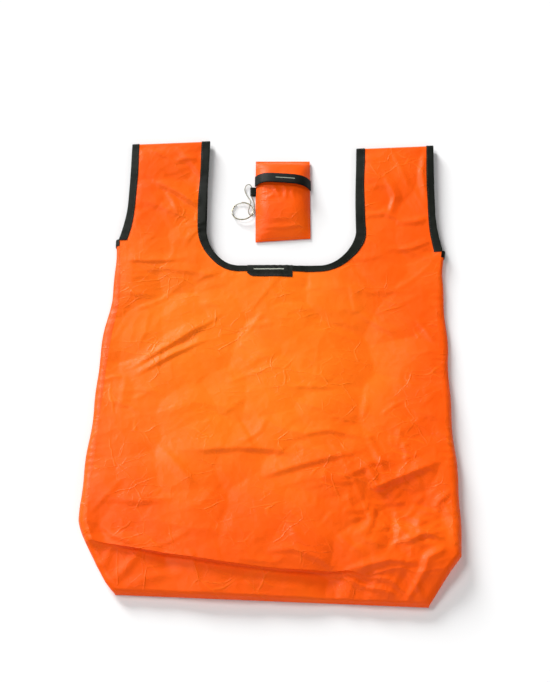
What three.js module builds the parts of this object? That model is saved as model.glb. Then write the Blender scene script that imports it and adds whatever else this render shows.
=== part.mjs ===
// Foldable nylon shopping bag with its storage pouch and key ring.
// The bag lies on its back with its base towards -Y and its two carrying straps towards +Y,
// and the pouch lies between the straps. Millimetres, +Z up, resting on the plane z = 0.
// The cloth is drawn 1 mm thick, which is thicker than the real taffeta, so that every panel is a
// robust solid. Sewn edges stand a seam gap apart, as the thread is not modelled.

import * as THREE from 'three';

// ---- Driving dimensions: the bag ----------------------------------------------------------------

const totalLength = 625; // base seam to the top of the carrying straps
const strapLength = 144.5; // fold line at the armpits to the top of the straps
const neckWidth = 187; // clear width between the two straps
const neckDepth = 40; // from the fold line down to the lowest point of the neck
const neckCornerWidth = 43; // corners of the neck, a quarter of an ellipse
const neckCornerHeight = 62;
const strapWidth = 97; // across one strap, cloth edge to cloth edge
const armholeFlare = 8; // how far the armhole edge swings outwards at its foot
const armholeLength = 55; // length of that swing
const armpitDrop = 3; // gusset top below the fold line
const bodyWidening = 13.5; // each side, from the armpit to the widest line
const widestHeight = 107; // widest line above the base seam
const cornerInset = 43; // how far each lower corner is drawn in
const gussetBulge = 9.5; // gusset standing outside the front seam
const gussetBulgeTop = 4; // the same at the armpit
const gussetRun = 90; // length over which the bulge grows
const crownRise = 38; // top of the filled body above the strap level
const crownPeak = 0.85; // share of the way down the body where the crown is highest
const creaseDrop = 6; // from the crown down to the base crease
const seamRise = 22; // side seam at the base crease above the strap level
const baseRun = 21; // base crease to base seam, measured along the table
const flatRun = 18; // level stretch of both panels below the neck
const settleRun = 50; // stretch over which the back panel settles onto the table

// ---- Driving dimensions: cloth, tape and clearances ---------------------------------------------

const wall = 1; // cloth
const tapeWall = 0.8; // one layer of binding tape
const tapeWidth = 10; // binding tape, folded over the edge
const gap = 0.3; // between pieces that touch
const handRoom = 5.2; // clear height between the two layers of a strap
const labelLength = 57;
const labelWidth = 19;
const labelOverhang = 2.4; // label standing past the neck tape
const labelTuck = 9; // under leg of the folded label
const labelOffset = -11; // label centre to the left of the bag's centre line
const seamAllowanceAngle = 65; // half angle of the felled seam inside the strap's top fold, degrees

// ---- Driving dimensions: the pouch --------------------------------------------------------------

const pouchWidth = 68;
const pouchLength = 115;
const pouchRise = 13.2; // crown of the front wall above its own edge
const pouchX = 6.4; // centre of the pouch
const pouchBelowTop = 26.5; // top edge of the pouch below the top of the straps
const flapReach = 34; // top edge of the pouch to the flap's free edge
const flapArch = 4; // the free edge rises this much in the middle
const flapInset = 2.5; // flap narrower than the pouch on each side
const flapTape = 14; // width of the tape on the flap's free edge
const bundleShare = 0.82; // folded bag inside, as a share of the pouch's width and length

// ---- Driving dimensions: the key ring -----------------------------------------------------------

const ringOuter = 13.75; // radius
const ringWire = 1.7; // across the wire, radially
const ringHeight = 2.6; // two turns of wire
const ringTilt = 7; // degrees, the ring leans on the cord
const ringLean = -50; // degrees, direction of its raised side
const cordDiameter = 1.1;
const tabLength = 12; // along the pouch's side seam
const tabReach = 5.4; // side seam to the centre of the eye
const tabWall = 0.8;

// ---- Derived places -----------------------------------------------------------------------------

const degree = Math.PI / 180;
const topY = totalLength / 2;
const bottomY = -totalLength / 2;
const foldY = topY - strapLength;
const armpitY = foldY - armpitDrop;
const neckBottomY = foldY - neckDepth;
const flatY = neckBottomY - flatRun;
const settledY = flatY - settleRun;
const widestY = bottomY + widestHeight;
const baseEndY = bottomY + wall / 2;
const creaseY = baseEndY + baseRun;
const neckHalf = neckWidth / 2;
const strapOuter = neckHalf + strapWidth;
const armpitHalf = strapOuter + armholeFlare + gussetBulgeTop + wall / 2;
const widestHalf = armpitHalf + bodyWidening;

const tapeHalf = wall / 2 + gap + tapeWall; // cloth centre to the outside of the tape
const backLevel = tapeHalf; // centre of the back cloth where its taped edges rest on the table
const settledLevel = wall / 2; // centre of the back cloth lower down
const frontLevel = backLevel + 2 * tapeHalf + handRoom;
const foldRadius = (frontLevel - backLevel) / 2;
const foldCentreY = topY - tapeHalf - foldRadius;
const foldCentreZ = (frontLevel + backLevel) / 2;

// ---- Materials ----------------------------------------------------------------------------------

const material = (color, roughness, metalness = 0) =>
  new THREE.MeshStandardMaterial({ color, roughness, metalness, side: THREE.DoubleSide });
const nylon = material('#ff6212', 0.42);
const innerNylon = material('#f04a08', 0.5);
const tape = material('#1d251b', 0.7);
const wovenLabel = material('#242a22', 0.8);
const cordMaterial = material('#8f9189', 0.6);
const steel = material('#9a988f', 0.3, 1);

// ---- Mesh helpers -------------------------------------------------------------------------------

const clamp = THREE.MathUtils.clamp;
const lerp = THREE.MathUtils.lerp;
const vec = (x, y, z) => new THREE.Vector3(x, y, z);

// Eases from 0 to 1 with level ends.
function ease(t) {
  const s = clamp(t, 0, 1);
  return s * s * (3 - 2 * s);
}

// Numbers from start to end in equal steps, both ends included.
function steps(start, end, count) {
  return Array.from({ length: count + 1 }, (_, i) => lerp(start, end, i / count));
}

// A closed geometry from points and triangles, with its faces turned outwards.
function closedGeometry(points, triangles) {
  let volume = 0;
  for (const [a, b, c] of triangles) {
    volume += points[a].dot(points[b].clone().cross(points[c]));
  }
  const index = triangles.flatMap(([a, b, c]) => (volume < 0 ? [a, c, b] : [a, b, c]));
  const geometry = new THREE.BufferGeometry().setFromPoints(points);
  geometry.setIndex(index);
  geometry.computeVertexNormals();
  return geometry;
}

// The solid between two grids of points that have the same rows and columns.
function solidBetween(upper, lower) {
  const rows = upper.length;
  const columns = upper[0].length;
  const points = [...upper.flat(), ...lower.flat()];
  const up = (i, j) => i * columns + j;
  const down = (i, j) => (rows + i) * columns + j;
  const triangles = [];
  const quad = (a, b, c, d) => triangles.push([a, b, c], [a, c, d]);
  for (let i = 0; i < rows - 1; i++) {
    for (let j = 0; j < columns - 1; j++) {
      quad(up(i, j), up(i, j + 1), up(i + 1, j + 1), up(i + 1, j));
      quad(down(i, j), down(i + 1, j), down(i + 1, j + 1), down(i, j + 1));
    }
  }
  for (let j = 0; j < columns - 1; j++) {
    quad(down(0, j), down(0, j + 1), up(0, j + 1), up(0, j));
    quad(down(rows - 1, j + 1), down(rows - 1, j), up(rows - 1, j), up(rows - 1, j + 1));
  }
  for (let i = 0; i < rows - 1; i++) {
    quad(down(i + 1, 0), down(i, 0), up(i, 0), up(i + 1, 0));
    quad(down(i, columns - 1), down(i + 1, columns - 1), up(i + 1, columns - 1), up(i, columns - 1));
  }
  return closedGeometry(points, triangles);
}

// Unit normals of a grid of points, from its neighbours along both directions.
function gridNormals(grid) {
  const last = grid.length - 1;
  return grid.map((row, i) => row.map((_, j) => {
    const along = row[Math.min(j + 1, row.length - 1)].clone().sub(row[Math.max(j - 1, 0)]);
    const across = grid[Math.min(i + 1, last)][j].clone().sub(grid[Math.max(i - 1, 0)][j]);
    return along.cross(across).normalize();
  }));
}

// Cloth of even thickness about a grid of centre points.
function cloth(grid, thickness = wall) {
  const normals = gridNormals(grid);
  const side = (distance) => grid.map((row, i) =>
    row.map((point, j) => point.clone().addScaledVector(normals[i][j], distance)));
  return solidBetween(side(thickness / 2), side(-thickness / 2));
}

// A solid through rings of points that all follow one flat outline, closed by a cap at each end.
function loft(rings, outline) {
  const count = outline.length;
  const points = rings.flat();
  const triangles = [];
  for (let k = 0; k < rings.length - 1; k++) {
    for (let i = 0; i < count; i++) {
      const next = (i + 1) % count;
      triangles.push([k * count + i, k * count + next, (k + 1) * count + next]);
      triangles.push([k * count + i, (k + 1) * count + next, (k + 1) * count + i]);
    }
  }
  const contour = outline.map(([x, y]) => new THREE.Vector2(x, y));
  const turned = THREE.ShapeUtils.area(contour) < 0;
  const end = (rings.length - 1) * count;
  for (const face of THREE.ShapeUtils.triangulateShape(contour, [])) {
    const clockwise = THREE.ShapeUtils.area(face.map((i) => contour[i])) < 0;
    const [a, b, c] = clockwise === turned ? face : [face[0], face[2], face[1]];
    triangles.push([a, c, b], [end + a, end + b, end + c]);
  }
  return closedGeometry(points, triangles);
}

// Tape folded over an edge, as an outline: first number into the cloth, second across it.
function foldedTape(width) {
  const back = -gap - tapeWall;
  const slot = tapeHalf - tapeWall;
  return [
    [back, -tapeHalf], [back + width, -tapeHalf], [back + width, -slot], [-gap, -slot],
    [-gap, slot], [back + width, slot], [back + width, tapeHalf], [back, tapeHalf],
  ];
}

// Folded tape along an edge. Each station has its point on the cloth edge, the direction into the
// cloth and the direction that faces outwards.
function edgeTape(stations, width = tapeWidth) {
  const outline = foldedTape(width);
  const rings = stations.map(({ point, inward, outward }) => outline.map(([into, across]) =>
    point.clone().addScaledVector(inward, into).addScaledVector(outward, across)));
  return loft(rings, outline);
}

// A flat outline of (y, z) extruded along X, centred on x = 0.
function alongX(shape, length) {
  const geometry = new THREE.ExtrudeGeometry(shape, { depth: length, bevelEnabled: false });
  geometry.translate(0, 0, -length / 2);
  const turn = new THREE.Matrix4().makeBasis(vec(0, 1, 0), vec(0, 0, 1), vec(1, 0, 0));
  return geometry.applyMatrix4(turn);
}

function outlineShape(points) {
  return new THREE.Shape(points.map(([x, y]) => new THREE.Vector2(x, y)));
}

// Adds a named mesh to a group and returns it.
function add(group, name, geometry, finish) {
  const mesh = new THREE.Mesh(geometry, finish);
  mesh.name = name;
  group.add(mesh);
  return mesh;
}

// ---- Outline and heights of the body ------------------------------------------------------------

// Half width of the whole body, gussets included.
function bodyHalf(y) {
  if (y >= widestY) {
    const t = clamp((armpitY - y) / (armpitY - widestY), 0, 1);
    return armpitHalf + bodyWidening * t ** 1.4;
  }
  const q = clamp((widestY - y) / (widestY - bottomY), 0, 1);
  const cornerPower = 1.8;
  return widestHalf - cornerInset * (1 - (1 - q ** cornerPower) ** (1 / cornerPower));
}

function bulge(y) {
  return lerp(gussetBulgeTop, gussetBulge, ease((armpitY - y) / gussetRun));
}

// Half width of the front and back panels, up to their side seams.
function seamHalf(y) {
  return bodyHalf(y) - bulge(y) - wall / 2;
}

// Centre of the front cloth. u runs from -1 to 1 between the side seams.
function frontHeight(u, y) {
  const t = clamp((flatY - y) / (flatY - creaseY), 0, 1);
  const past = Math.max(0, (t - crownPeak) / (1 - crownPeak));
  const crown = crownRise * ease(t / crownPeak) - creaseDrop * past * past;
  const seam = seamRise * ease(t);
  return frontLevel + seam + (crown - seam) * (1 - Math.abs(u) ** 2.5);
}

// Centre of the back cloth.
function backHeight(y) {
  return lerp(settledLevel, backLevel, ease((y - settledY) / (flatY - settledY)));
}

// Lower rows, shared by the base, the gussets and the back panel so that their edges stay parallel.
const baseShares = [0, 0.2, 0.4, 0.6, 0.75, 0.88, 1];
const baseStart = wall * 0.9; // first row of the base cloth below the crease, along the table

function basePoint(u, share) {
  const y = lerp(creaseY - baseStart, baseEndY, share);
  const z = lerp(frontHeight(u, creaseY) - gap, wall * 0.8, share);
  return vec(u * seamHalf(y), y, z);
}

const bodyRows = steps(creaseY, settledY, 11);
const settleRows = steps(settledY, flatY, 4).slice(1);

// ---- Neck outline -------------------------------------------------------------------------------

// Half width of the neck opening at a height between its lowest point and the fold line and above.
function neckEdge(y) {
  const below = clamp((neckBottomY + neckCornerHeight - y) / neckCornerHeight, 0, 1);
  return neckHalf - neckCornerWidth + neckCornerWidth * Math.sqrt(1 - below ** 2);
}

// Right half of the neck edge from the centre line to the fold line: place and direction into cloth.
function neckStations() {
  const cornerX = neckHalf - neckCornerWidth;
  const cornerY = neckBottomY + neckCornerHeight;
  const endAngle = Math.acos(clamp((cornerY - foldY + gap) / neckCornerHeight, 0, 1));
  const level = steps(0, cornerX, 2).slice(0, -1).map((x) => ({ x, y: neckBottomY, slope: 0 }));
  const round = steps(0, endAngle, 6).map((angle) => ({
    x: cornerX + neckCornerWidth * Math.sin(angle),
    y: cornerY - neckCornerHeight * Math.cos(angle),
    slope: Math.atan2(Math.sin(angle) / neckCornerWidth, Math.cos(angle) / neckCornerHeight),
  }));
  return [...level, ...round];
}

// Tape along the whole neck edge of one panel, at one level.
function neckTape(level) {
  const half = neckStations();
  const place = ({ x, y, slope }, side) => ({
    point: vec(side * x, y, level),
    inward: vec(side * Math.sin(slope), -Math.cos(slope), 0),
    outward: vec(0, 0, 1),
  });
  const left = half.slice(1).reverse().map((station) => place(station, -1));
  return edgeTape([...left, ...half.map((station) => place(station, 1))]);
}

// ---- Panels -------------------------------------------------------------------------------------

// Upper ends of the panel's columns: along the neck edge, then along the fold line to the seam.
function panelTops() {
  const neck = neckStations().map(({ x, y }) => ({ x, y }));
  const edge = neck[neck.length - 1];
  const endY = foldY - gap / 2;
  const shoulder = steps(edge.x, seamHalf(endY), 4).slice(1).map((x) => ({ x, y: endY }));
  const half = [...neck, ...shoulder];
  const mirrored = half.slice(1).reverse().map(({ x, y }) => ({ x: -x, y }));
  return [...mirrored, ...half];
}

// A front or back panel: given rows up to the level stretch, then rows that follow the neck.
function panelGrid(rows, height) {
  const tops = panelTops();
  const columns = tops.map(({ x, y }) => ({ u: x / seamHalf(y), top: y }));
  const lower = rows.map((y) => columns.map(({ u }) => vec(u * seamHalf(y), y, height(u, y))));
  const upper = steps(0, 1, 4).slice(1).map((share) => columns.map(({ u, top }) => {
    const y = lerp(flatY, top, share);
    return vec(u * seamHalf(y), y, height(u, y));
  }));
  return [...lower, ...upper];
}

function frontPanel() {
  return cloth(panelGrid([...bodyRows, ...settleRows], frontHeight));
}

function backPanel() {
  const endShare = 0.93; // stops just inside the base cloth
  const shares = [...baseShares.filter((share) => share < endShare), endShare].reverse();
  const lower = shares.map((share) => basePoint(0, share).y);
  return cloth(panelGrid([...lower, ...bodyRows, ...settleRows], (u, y) => backHeight(y)));
}

function basePanel() {
  const columns = steps(-1, 1, 16);
  const rows = [...baseShares].reverse();
  return cloth(rows.map((share) => columns.map((u) => basePoint(u, share))));
}

// Point on a gusset. share runs from the front seam (0) round the outside to the back seam (1).
function gussetPoint(side, y, frontZ, share) {
  const angle = Math.PI * share;
  const x = seamHalf(y) + gap + (bulge(y) - gap) * Math.sin(angle);
  const z = lerp(frontZ, backHeight(y), (1 - Math.cos(angle)) / 2);
  return vec(side * x, y, z);
}

function gusset(side) {
  const shares = steps(0, 1, 6);
  const across = (y, frontZ) => shares.map((share) => gussetPoint(side, y, frontZ, share));
  const lower = baseShares.slice(0, -2).reverse().map((share) => {
    const seam = basePoint(1, share);
    return across(seam.y, seam.z);
  });
  const upperRows = [...bodyRows, ...settleRows, ...steps(flatY, armpitY, 4).slice(1)];
  return cloth([...lower, ...upperRows.map((y) => across(y, frontHeight(1, y)))]);
}

// Tape over the top edge of a gusset, from the front armhole to the back one.
function gussetTape(side) {
  const stations = steps(0, 1, 8).map((share) => {
    const point = gussetPoint(side, armpitY, frontLevel, share);
    const before = gussetPoint(side, armpitY, frontLevel, share - 0.01);
    const after = gussetPoint(side, armpitY, frontLevel, share + 0.01);
    const along = after.sub(before).normalize();
    const outward = vec(-side * along.z, 0, side * along.x);
    return { point, inward: vec(0, -1, 0), outward };
  });
  return edgeTape(stations);
}

// ---- Straps -------------------------------------------------------------------------------------

// Outer edge of a strap, which swings outwards towards the armpit.
function armholeEdge(y) {
  const share = clamp((foldY + armholeLength - y) / armholeLength, 0, 1);
  return strapOuter + armholeFlare * share ** 2;
}

// Centre line of the strap's cloth in the YZ plane: up the front layer, over the top fold and down
// the back layer. Each station has its place and the direction that faces outwards.
function strapLine(fromAngle, toAngle, startY) {
  const straight = steps(startY, foldCentreY, 7).slice(0, -1);
  const front = straight.map((y) => ({ y, z: frontLevel, ny: 0, nz: 1 }));
  const back = straight.map((y) => ({ y, z: backLevel, ny: 0, nz: -1 })).reverse();
  const count = Math.round((toAngle - fromAngle) / 15);
  const round = steps(fromAngle, toAngle, count).map((angle) => {
    const ny = Math.sin(angle * degree);
    const nz = Math.cos(angle * degree);
    return { y: foldCentreY + foldRadius * ny, z: foldCentreZ + foldRadius * nz, ny, nz };
  });
  return [...(fromAngle === 0 ? front : []), ...round, ...(toAngle === 180 ? back : [])];
}

const strapStart = foldY + gap / 2;
const splitAngle = gap / 2 / foldRadius / degree; // half the gap at the shoulder seam

function strapCloth(side, fromAngle, toAngle) {
  const columns = steps(0, 1, 4);
  const rows = strapLine(fromAngle, toAngle, strapStart).map(({ y, z }) =>
    columns.map((share) => vec(side * lerp(neckEdge(y), armholeEdge(y), share), y, z)));
  return cloth(rows);
}

function strapTape(side, edge, inwardSign) {
  const stations = strapLine(0, 180, strapStart).map(({ y, z, ny, nz }) => ({
    point: vec(side * edge(y), y, z),
    inward: vec(side * inwardSign, 0, 0),
    outward: vec(0, ny, nz),
  }));
  return edgeTape(stations);
}

// Felled seam allowance on the inside of the top fold, between the two tapes.
function shoulderSeam(side) {
  const outer = foldRadius - wall / 2 - gap;
  const radius = outer - tapeWall / 2;
  const clear = tapeWidth;
  const xs = [neckHalf + clear, strapOuter - clear].map((x) => side * x);
  const angles = steps(90 - seamAllowanceAngle, 90 + seamAllowanceAngle, 10);
  const rows = angles.map((angle) => xs.map((x) => vec(
    x,
    foldCentreY + radius * Math.sin(angle * degree),
    foldCentreZ + radius * Math.cos(angle * degree),
  )));
  return cloth(rows, tapeWall);
}

function strapGroup(side, name) {
  const group = new THREE.Group();
  add(group, `${name}_strap_front`, strapCloth(side, 0, 90 - splitAngle), nylon);
  add(group, `${name}_strap_back`, strapCloth(side, 90 + splitAngle, 180), nylon);
  add(group, `${name}_shoulder_seam`, shoulderSeam(side), innerNylon);
  add(group, `${name}_strap_neck_tape`, strapTape(side, neckEdge, 1), tape);
  add(group, `${name}_armhole_tape`, strapTape(side, armholeEdge, -1), tape);
  return group;
}

// ---- Neck label ---------------------------------------------------------------------------------

// A woven label folded over the neck tape: long leg on top, short leg below.
function neckLabel() {
  const outerY = neckBottomY + gap + tapeWall + gap + labelOverhang;
  const innerY = outerY - tapeWall;
  const high = frontLevel + tapeHalf + gap;
  const low = frontLevel - tapeHalf - gap;
  return alongX(outlineShape([
    [outerY, low - tapeWall], [outerY, high + tapeWall], [outerY - labelWidth, high + tapeWall],
    [outerY - labelWidth, high], [innerY, high], [innerY, low], [outerY - labelTuck, low],
    [outerY - labelTuck, low - tapeWall],
  ]), labelLength);
}

// ---- Pouch, in its own frame: centre of its back wall at the origin -----------------------------

const pouchHalf = pouchWidth / 2;
const pouchReach = pouchLength / 2;
const pouchEdgeLevel = wall + gap + wall / 2; // centre of the front cloth at the side seams
const flapOffset = wall / 2 + gap + tapeHalf; // centre of the flap outside the front cloth
const flapHalf = pouchHalf - flapInset;
const pouchSide = steps(-1, 1, 12).map((share) => Math.sin(share * 90 * degree));

function pouchFrontPoint(x, y) {
  const a = clamp(Math.abs(x) / pouchHalf, 0, 1);
  const b = clamp(Math.abs(y) / pouchReach, 0, 1);
  return vec(x, y, pouchEdgeLevel + pouchRise * (1 - a ** 2.2) * (1 - b ** 4));
}

// A point at a distance outside the pouch's front cloth, square to it.
function outsidePouch(x, y, distance) {
  const small = 0.05;
  const insideX = clamp(x, -pouchHalf + small, pouchHalf - small);
  const insideY = clamp(y, -pouchReach + small, pouchReach - small);
  const high = (dx, dy) => pouchFrontPoint(insideX + dx, insideY + dy).z;
  const slopeX = (high(small, 0) - high(-small, 0)) / (2 * small);
  const slopeY = (high(0, small) - high(0, -small)) / (2 * small);
  const normal = vec(-slopeX, -slopeY, 1).normalize();
  return pouchFrontPoint(x, y).addScaledVector(normal, distance);
}

function pouchBack() {
  const ys = [-pouchReach, 0, pouchReach];
  return cloth(ys.map((y) => [-pouchHalf, 0, pouchHalf].map((x) => vec(x, y, wall / 2))));
}

function pouchFront() {
  const ys = steps(-1, 1, 12).map((share) => pouchReach * Math.sin(share * 90 * degree));
  return cloth(ys.map((y) => pouchSide.map((a) => pouchFrontPoint(a * pouchHalf, y))));
}

// Free edge of the flap.
function flapEdge(x) {
  return pouchReach - flapReach + flapArch * (1 - (x / flapHalf) ** 2);
}

const flapShares = [0, 0.34, 0.67, 1]; // rows of the flap under its tape

function pouchFlap() {
  const reach = flapTape - tapeWall - gap; // how much of the flap its tape covers
  const covered = (share) => pouchSide.map((a) => {
    const x = a * flapHalf;
    return outsidePouch(x, flapEdge(x) + share * reach, flapOffset);
  });
  const open = (share) => pouchSide.map((a) => {
    const x = a * flapHalf;
    const y = lerp(flapEdge(x) + reach, pouchReach - wall, Math.sin(share * 90 * degree));
    return outsidePouch(x, y, flapOffset);
  });
  return cloth([...flapShares.map(covered), ...steps(0, 1, 6).slice(1).map(open)]);
}

// Tape along the flap's free edge. Its legs follow the crowned cloth.
function flapTapeBody() {
  const slot = tapeHalf - tapeWall;
  const legs = flapShares.map((share) => share * (flapTape - tapeWall - gap));
  const far = [...legs].reverse();
  const back = -gap - tapeWall;
  const outline = [
    [back, -tapeHalf], ...legs.slice(1).map((into) => [into, -tapeHalf]),
    ...far.slice(0, -1).map((into) => [into, -slot]), [-gap, -slot],
    [-gap, slot], ...legs.slice(1).map((into) => [into, slot]),
    ...far.slice(0, -1).map((into) => [into, tapeHalf]), [back, tapeHalf],
  ];
  const rings = pouchSide.map((a) => {
    const x = a * flapHalf;
    return outline.map(([into, across]) => outsidePouch(x, flapEdge(x) + into, flapOffset + across));
  });
  return loft(rings, outline);
}

// The folded bag that fills the pouch.
function bundle() {
  const xs = pouchSide.map((a) => a * pouchHalf * bundleShare);
  const ys = steps(-1, 1, 8).map((share) => share * pouchReach * bundleShare);
  const room = wall + gap;
  const grid = (height) => ys.map((y) => xs.map((x) => vec(x, y, height(x, y))));
  const upper = grid((x, y) => pouchFrontPoint(x, y).z - room * 1.4);
  const lower = grid(() => room);
  return solidBetween(upper, lower);
}

// ---- Key ring, in the pouch's frame -------------------------------------------------------------

const eyeRadius = cordDiameter / 2 + gap;
const eyeOuter = eyeRadius + tabWall;
const eyeX = -pouchHalf - tabReach;
const eyeZ = eyeOuter + gap / 2;
const tabY = 14.5; // centre of the tab above the pouch's centre
const ringX = eyeX - 10.9;
const ringY = tabY - 30;

// Webbing tab: a flat leg that is sewn into the side seam, folded round the cord.
function sideTab() {
  const legHalf = tabWall;
  const start = Math.asin(legHalf / eyeOuter);
  const shape = new THREE.Shape();
  shape.moveTo(-pouchHalf - gap, eyeZ - legHalf);
  shape.lineTo(-pouchHalf - gap, eyeZ + legHalf);
  for (const angle of steps(start, 2 * Math.PI - start, 16)) {
    shape.lineTo(eyeX + eyeOuter * Math.cos(angle), eyeZ + eyeOuter * Math.sin(angle));
  }
  const eye = new THREE.Path();
  eye.absarc(eyeX, eyeZ, eyeRadius, 0, 2 * Math.PI, true);
  shape.holes.push(eye);
  const geometry = new THREE.ExtrudeGeometry(shape, {
    depth: tabLength, bevelEnabled: false, curveSegments: 10,
  });
  geometry.rotateX(Math.PI / 2);
  geometry.translate(0, tabY + tabLength / 2, 0);
  return geometry;
}

// Route of the cord: out of the tab's upper end, round and down to the ring, over the wire into the
// ring, under the wire and out again, and back into the tab's lower end.
const cordRoute = [
  [eyeX, tabY, eyeZ],
  [eyeX, tabY + 3, eyeZ],
  [eyeX, tabY + 6, eyeZ],
  [eyeX - 0.3, tabY + 8.5, eyeZ],
  [eyeX - 2.6, tabY + 11, 1.9],
  [eyeX - 5.8, tabY + 10.4, 1.8],
  [eyeX - 7.9, tabY + 7, 1.6],
  [eyeX - 8.3, tabY + 2.5, 1.5],
  [eyeX - 6.6, tabY - 3.5, 1.7],
  [eyeX - 3.6, tabY - 9, 2.4],
  [eyeX - 1.4, tabY - 14, 3.6],
  [eyeX - 0.9, tabY - 18.6, 4.9],
  [eyeX - 1.7, tabY - 22, 5.1],
  [eyeX - 2.8, tabY - 25.5, 3.6],
  [eyeX - 3.5, tabY - 29, 1.6],
  [eyeX - 2.9, tabY - 32.2, 0.75],
  [eyeX + 0.1, tabY - 34.4, 0.65],
  [eyeX + 3.2, tabY - 32.6, 0.7],
  [eyeX + 3.9, tabY - 28.6, 0.8],
  [eyeX + 3.5, tabY - 23, 0.8],
  [eyeX + 3.1, tabY - 17.5, 0.9],
  [eyeX + 1.9, tabY - 12.5, 1.2],
  [eyeX + 0.3, tabY - 8.4, eyeZ],
  [eyeX, tabY - 5.5, eyeZ],
  [eyeX, tabY - 2.5, eyeZ],
];

function loopCord() {
  const route = new THREE.CatmullRomCurve3(cordRoute.map((point) => vec(...point)));
  const section = new THREE.Shape();
  for (const [i, angle] of steps(0, 315, 7).entries()) {
    const x = Math.cos(angle * degree) * cordDiameter / 2;
    const y = Math.sin(angle * degree) * cordDiameter / 2;
    if (i === 0) section.moveTo(x, y);
    else section.lineTo(x, y);
  }
  return new THREE.ExtrudeGeometry(section, { steps: 64, bevelEnabled: false, extrudePath: route });
}

// Split ring, drawn as one closed ring as high as its two turns of wire.
function splitRing() {
  const inner = ringOuter - ringWire;
  const profile = [
    [inner, 0], [ringOuter, 0], [ringOuter, ringHeight], [inner, ringHeight], [inner, 0],
  ].map(([x, y]) => new THREE.Vector2(x, y));
  return new THREE.LatheGeometry(profile, 48).rotateX(Math.PI / 2);
}

// ---- Assembly -----------------------------------------------------------------------------------

const bag = new THREE.Group();
add(bag, 'front_panel', frontPanel(), nylon);
add(bag, 'back_panel', backPanel(), nylon);
add(bag, 'base_panel', basePanel(), nylon);
add(bag, 'front_neck_tape', neckTape(frontLevel), tape);
add(bag, 'back_neck_tape', neckTape(backLevel), tape);
add(bag, 'neck_label', neckLabel(), wovenLabel).position.x = labelOffset;
for (const [side, name] of [[-1, 'left'], [1, 'right']]) {
  add(bag, `${name}_gusset`, gusset(side), nylon);
  add(bag, `${name}_gusset_tape`, gussetTape(side), tape);
  bag.add(strapGroup(side, name));
}

const pouch = new THREE.Group();
pouch.position.set(pouchX, topY - pouchBelowTop - pouchReach, 0);
add(pouch, 'pouch_back', pouchBack(), nylon);
add(pouch, 'pouch_front', pouchFront(), nylon);
add(pouch, 'pouch_flap', pouchFlap(), nylon);
add(pouch, 'flap_tape', flapTapeBody(), tape);
add(pouch, 'folded_bag', bundle(), innerNylon);
add(pouch, 'side_tab', sideTab(), tape);
add(pouch, 'loop_cord', loopCord(), cordMaterial);

const ring = add(pouch, 'split_ring', splitRing(), steel);
const tiltAxis = vec(Math.sin(ringLean * degree), -Math.cos(ringLean * degree), 0);
ring.quaternion.setFromAxisAngle(tiltAxis, ringTilt * degree);
ring.position.set(ringX, ringY, ringOuter * Math.sin(ringTilt * degree) + gap / 4);

const object = new THREE.Group();
object.add(bag, pouch);

export default object;
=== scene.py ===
# %% [markdown]
# This script gives a folding shopping bag its looks. The bag is thin orange nylon with black
# binding tape along its neck and armholes.

# %% Load the measured model
import math

import bpy
import numpy as np
from mathutils import Matrix, Vector


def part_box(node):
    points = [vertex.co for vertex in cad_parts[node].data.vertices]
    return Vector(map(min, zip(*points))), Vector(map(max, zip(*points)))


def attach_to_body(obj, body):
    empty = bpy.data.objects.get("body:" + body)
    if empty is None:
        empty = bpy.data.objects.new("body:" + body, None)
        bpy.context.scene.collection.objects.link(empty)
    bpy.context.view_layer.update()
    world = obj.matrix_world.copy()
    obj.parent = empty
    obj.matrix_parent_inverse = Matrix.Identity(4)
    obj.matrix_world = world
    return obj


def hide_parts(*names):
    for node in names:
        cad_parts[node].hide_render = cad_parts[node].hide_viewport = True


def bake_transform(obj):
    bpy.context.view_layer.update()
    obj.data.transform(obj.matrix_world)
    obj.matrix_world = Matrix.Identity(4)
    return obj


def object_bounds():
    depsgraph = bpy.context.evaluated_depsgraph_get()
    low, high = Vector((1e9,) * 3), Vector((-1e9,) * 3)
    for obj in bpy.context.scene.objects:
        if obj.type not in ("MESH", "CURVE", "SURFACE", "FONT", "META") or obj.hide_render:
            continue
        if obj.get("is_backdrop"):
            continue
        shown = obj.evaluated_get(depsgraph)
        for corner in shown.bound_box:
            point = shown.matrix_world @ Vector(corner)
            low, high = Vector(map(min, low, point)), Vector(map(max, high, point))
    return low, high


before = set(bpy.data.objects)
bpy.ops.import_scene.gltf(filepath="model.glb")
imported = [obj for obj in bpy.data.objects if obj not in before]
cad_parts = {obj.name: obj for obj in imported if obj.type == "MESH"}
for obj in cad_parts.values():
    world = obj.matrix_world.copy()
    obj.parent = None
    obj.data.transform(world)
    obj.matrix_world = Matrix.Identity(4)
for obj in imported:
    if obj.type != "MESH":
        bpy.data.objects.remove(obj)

cad_low, cad_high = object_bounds()
MM = 0.001
print("model size in mm", [round((b - a) / MM, 1) for a, b in zip(cad_low, cad_high)])

# %% [markdown]
# The bag lies on its back. X runs across it, Y from its bottom edge to the tops of its straps,
# and Z up from the table. Lengths below are in millimetres, because cloth is cut in millimetres,
# and each mesh is turned to metres as it is made. The main heights come from the model's boxes.


# %% Main sizes, in millimetres
def box_mm(node):
    low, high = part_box(node)
    return np.array(low) / MM, np.array(high) / MM


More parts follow.
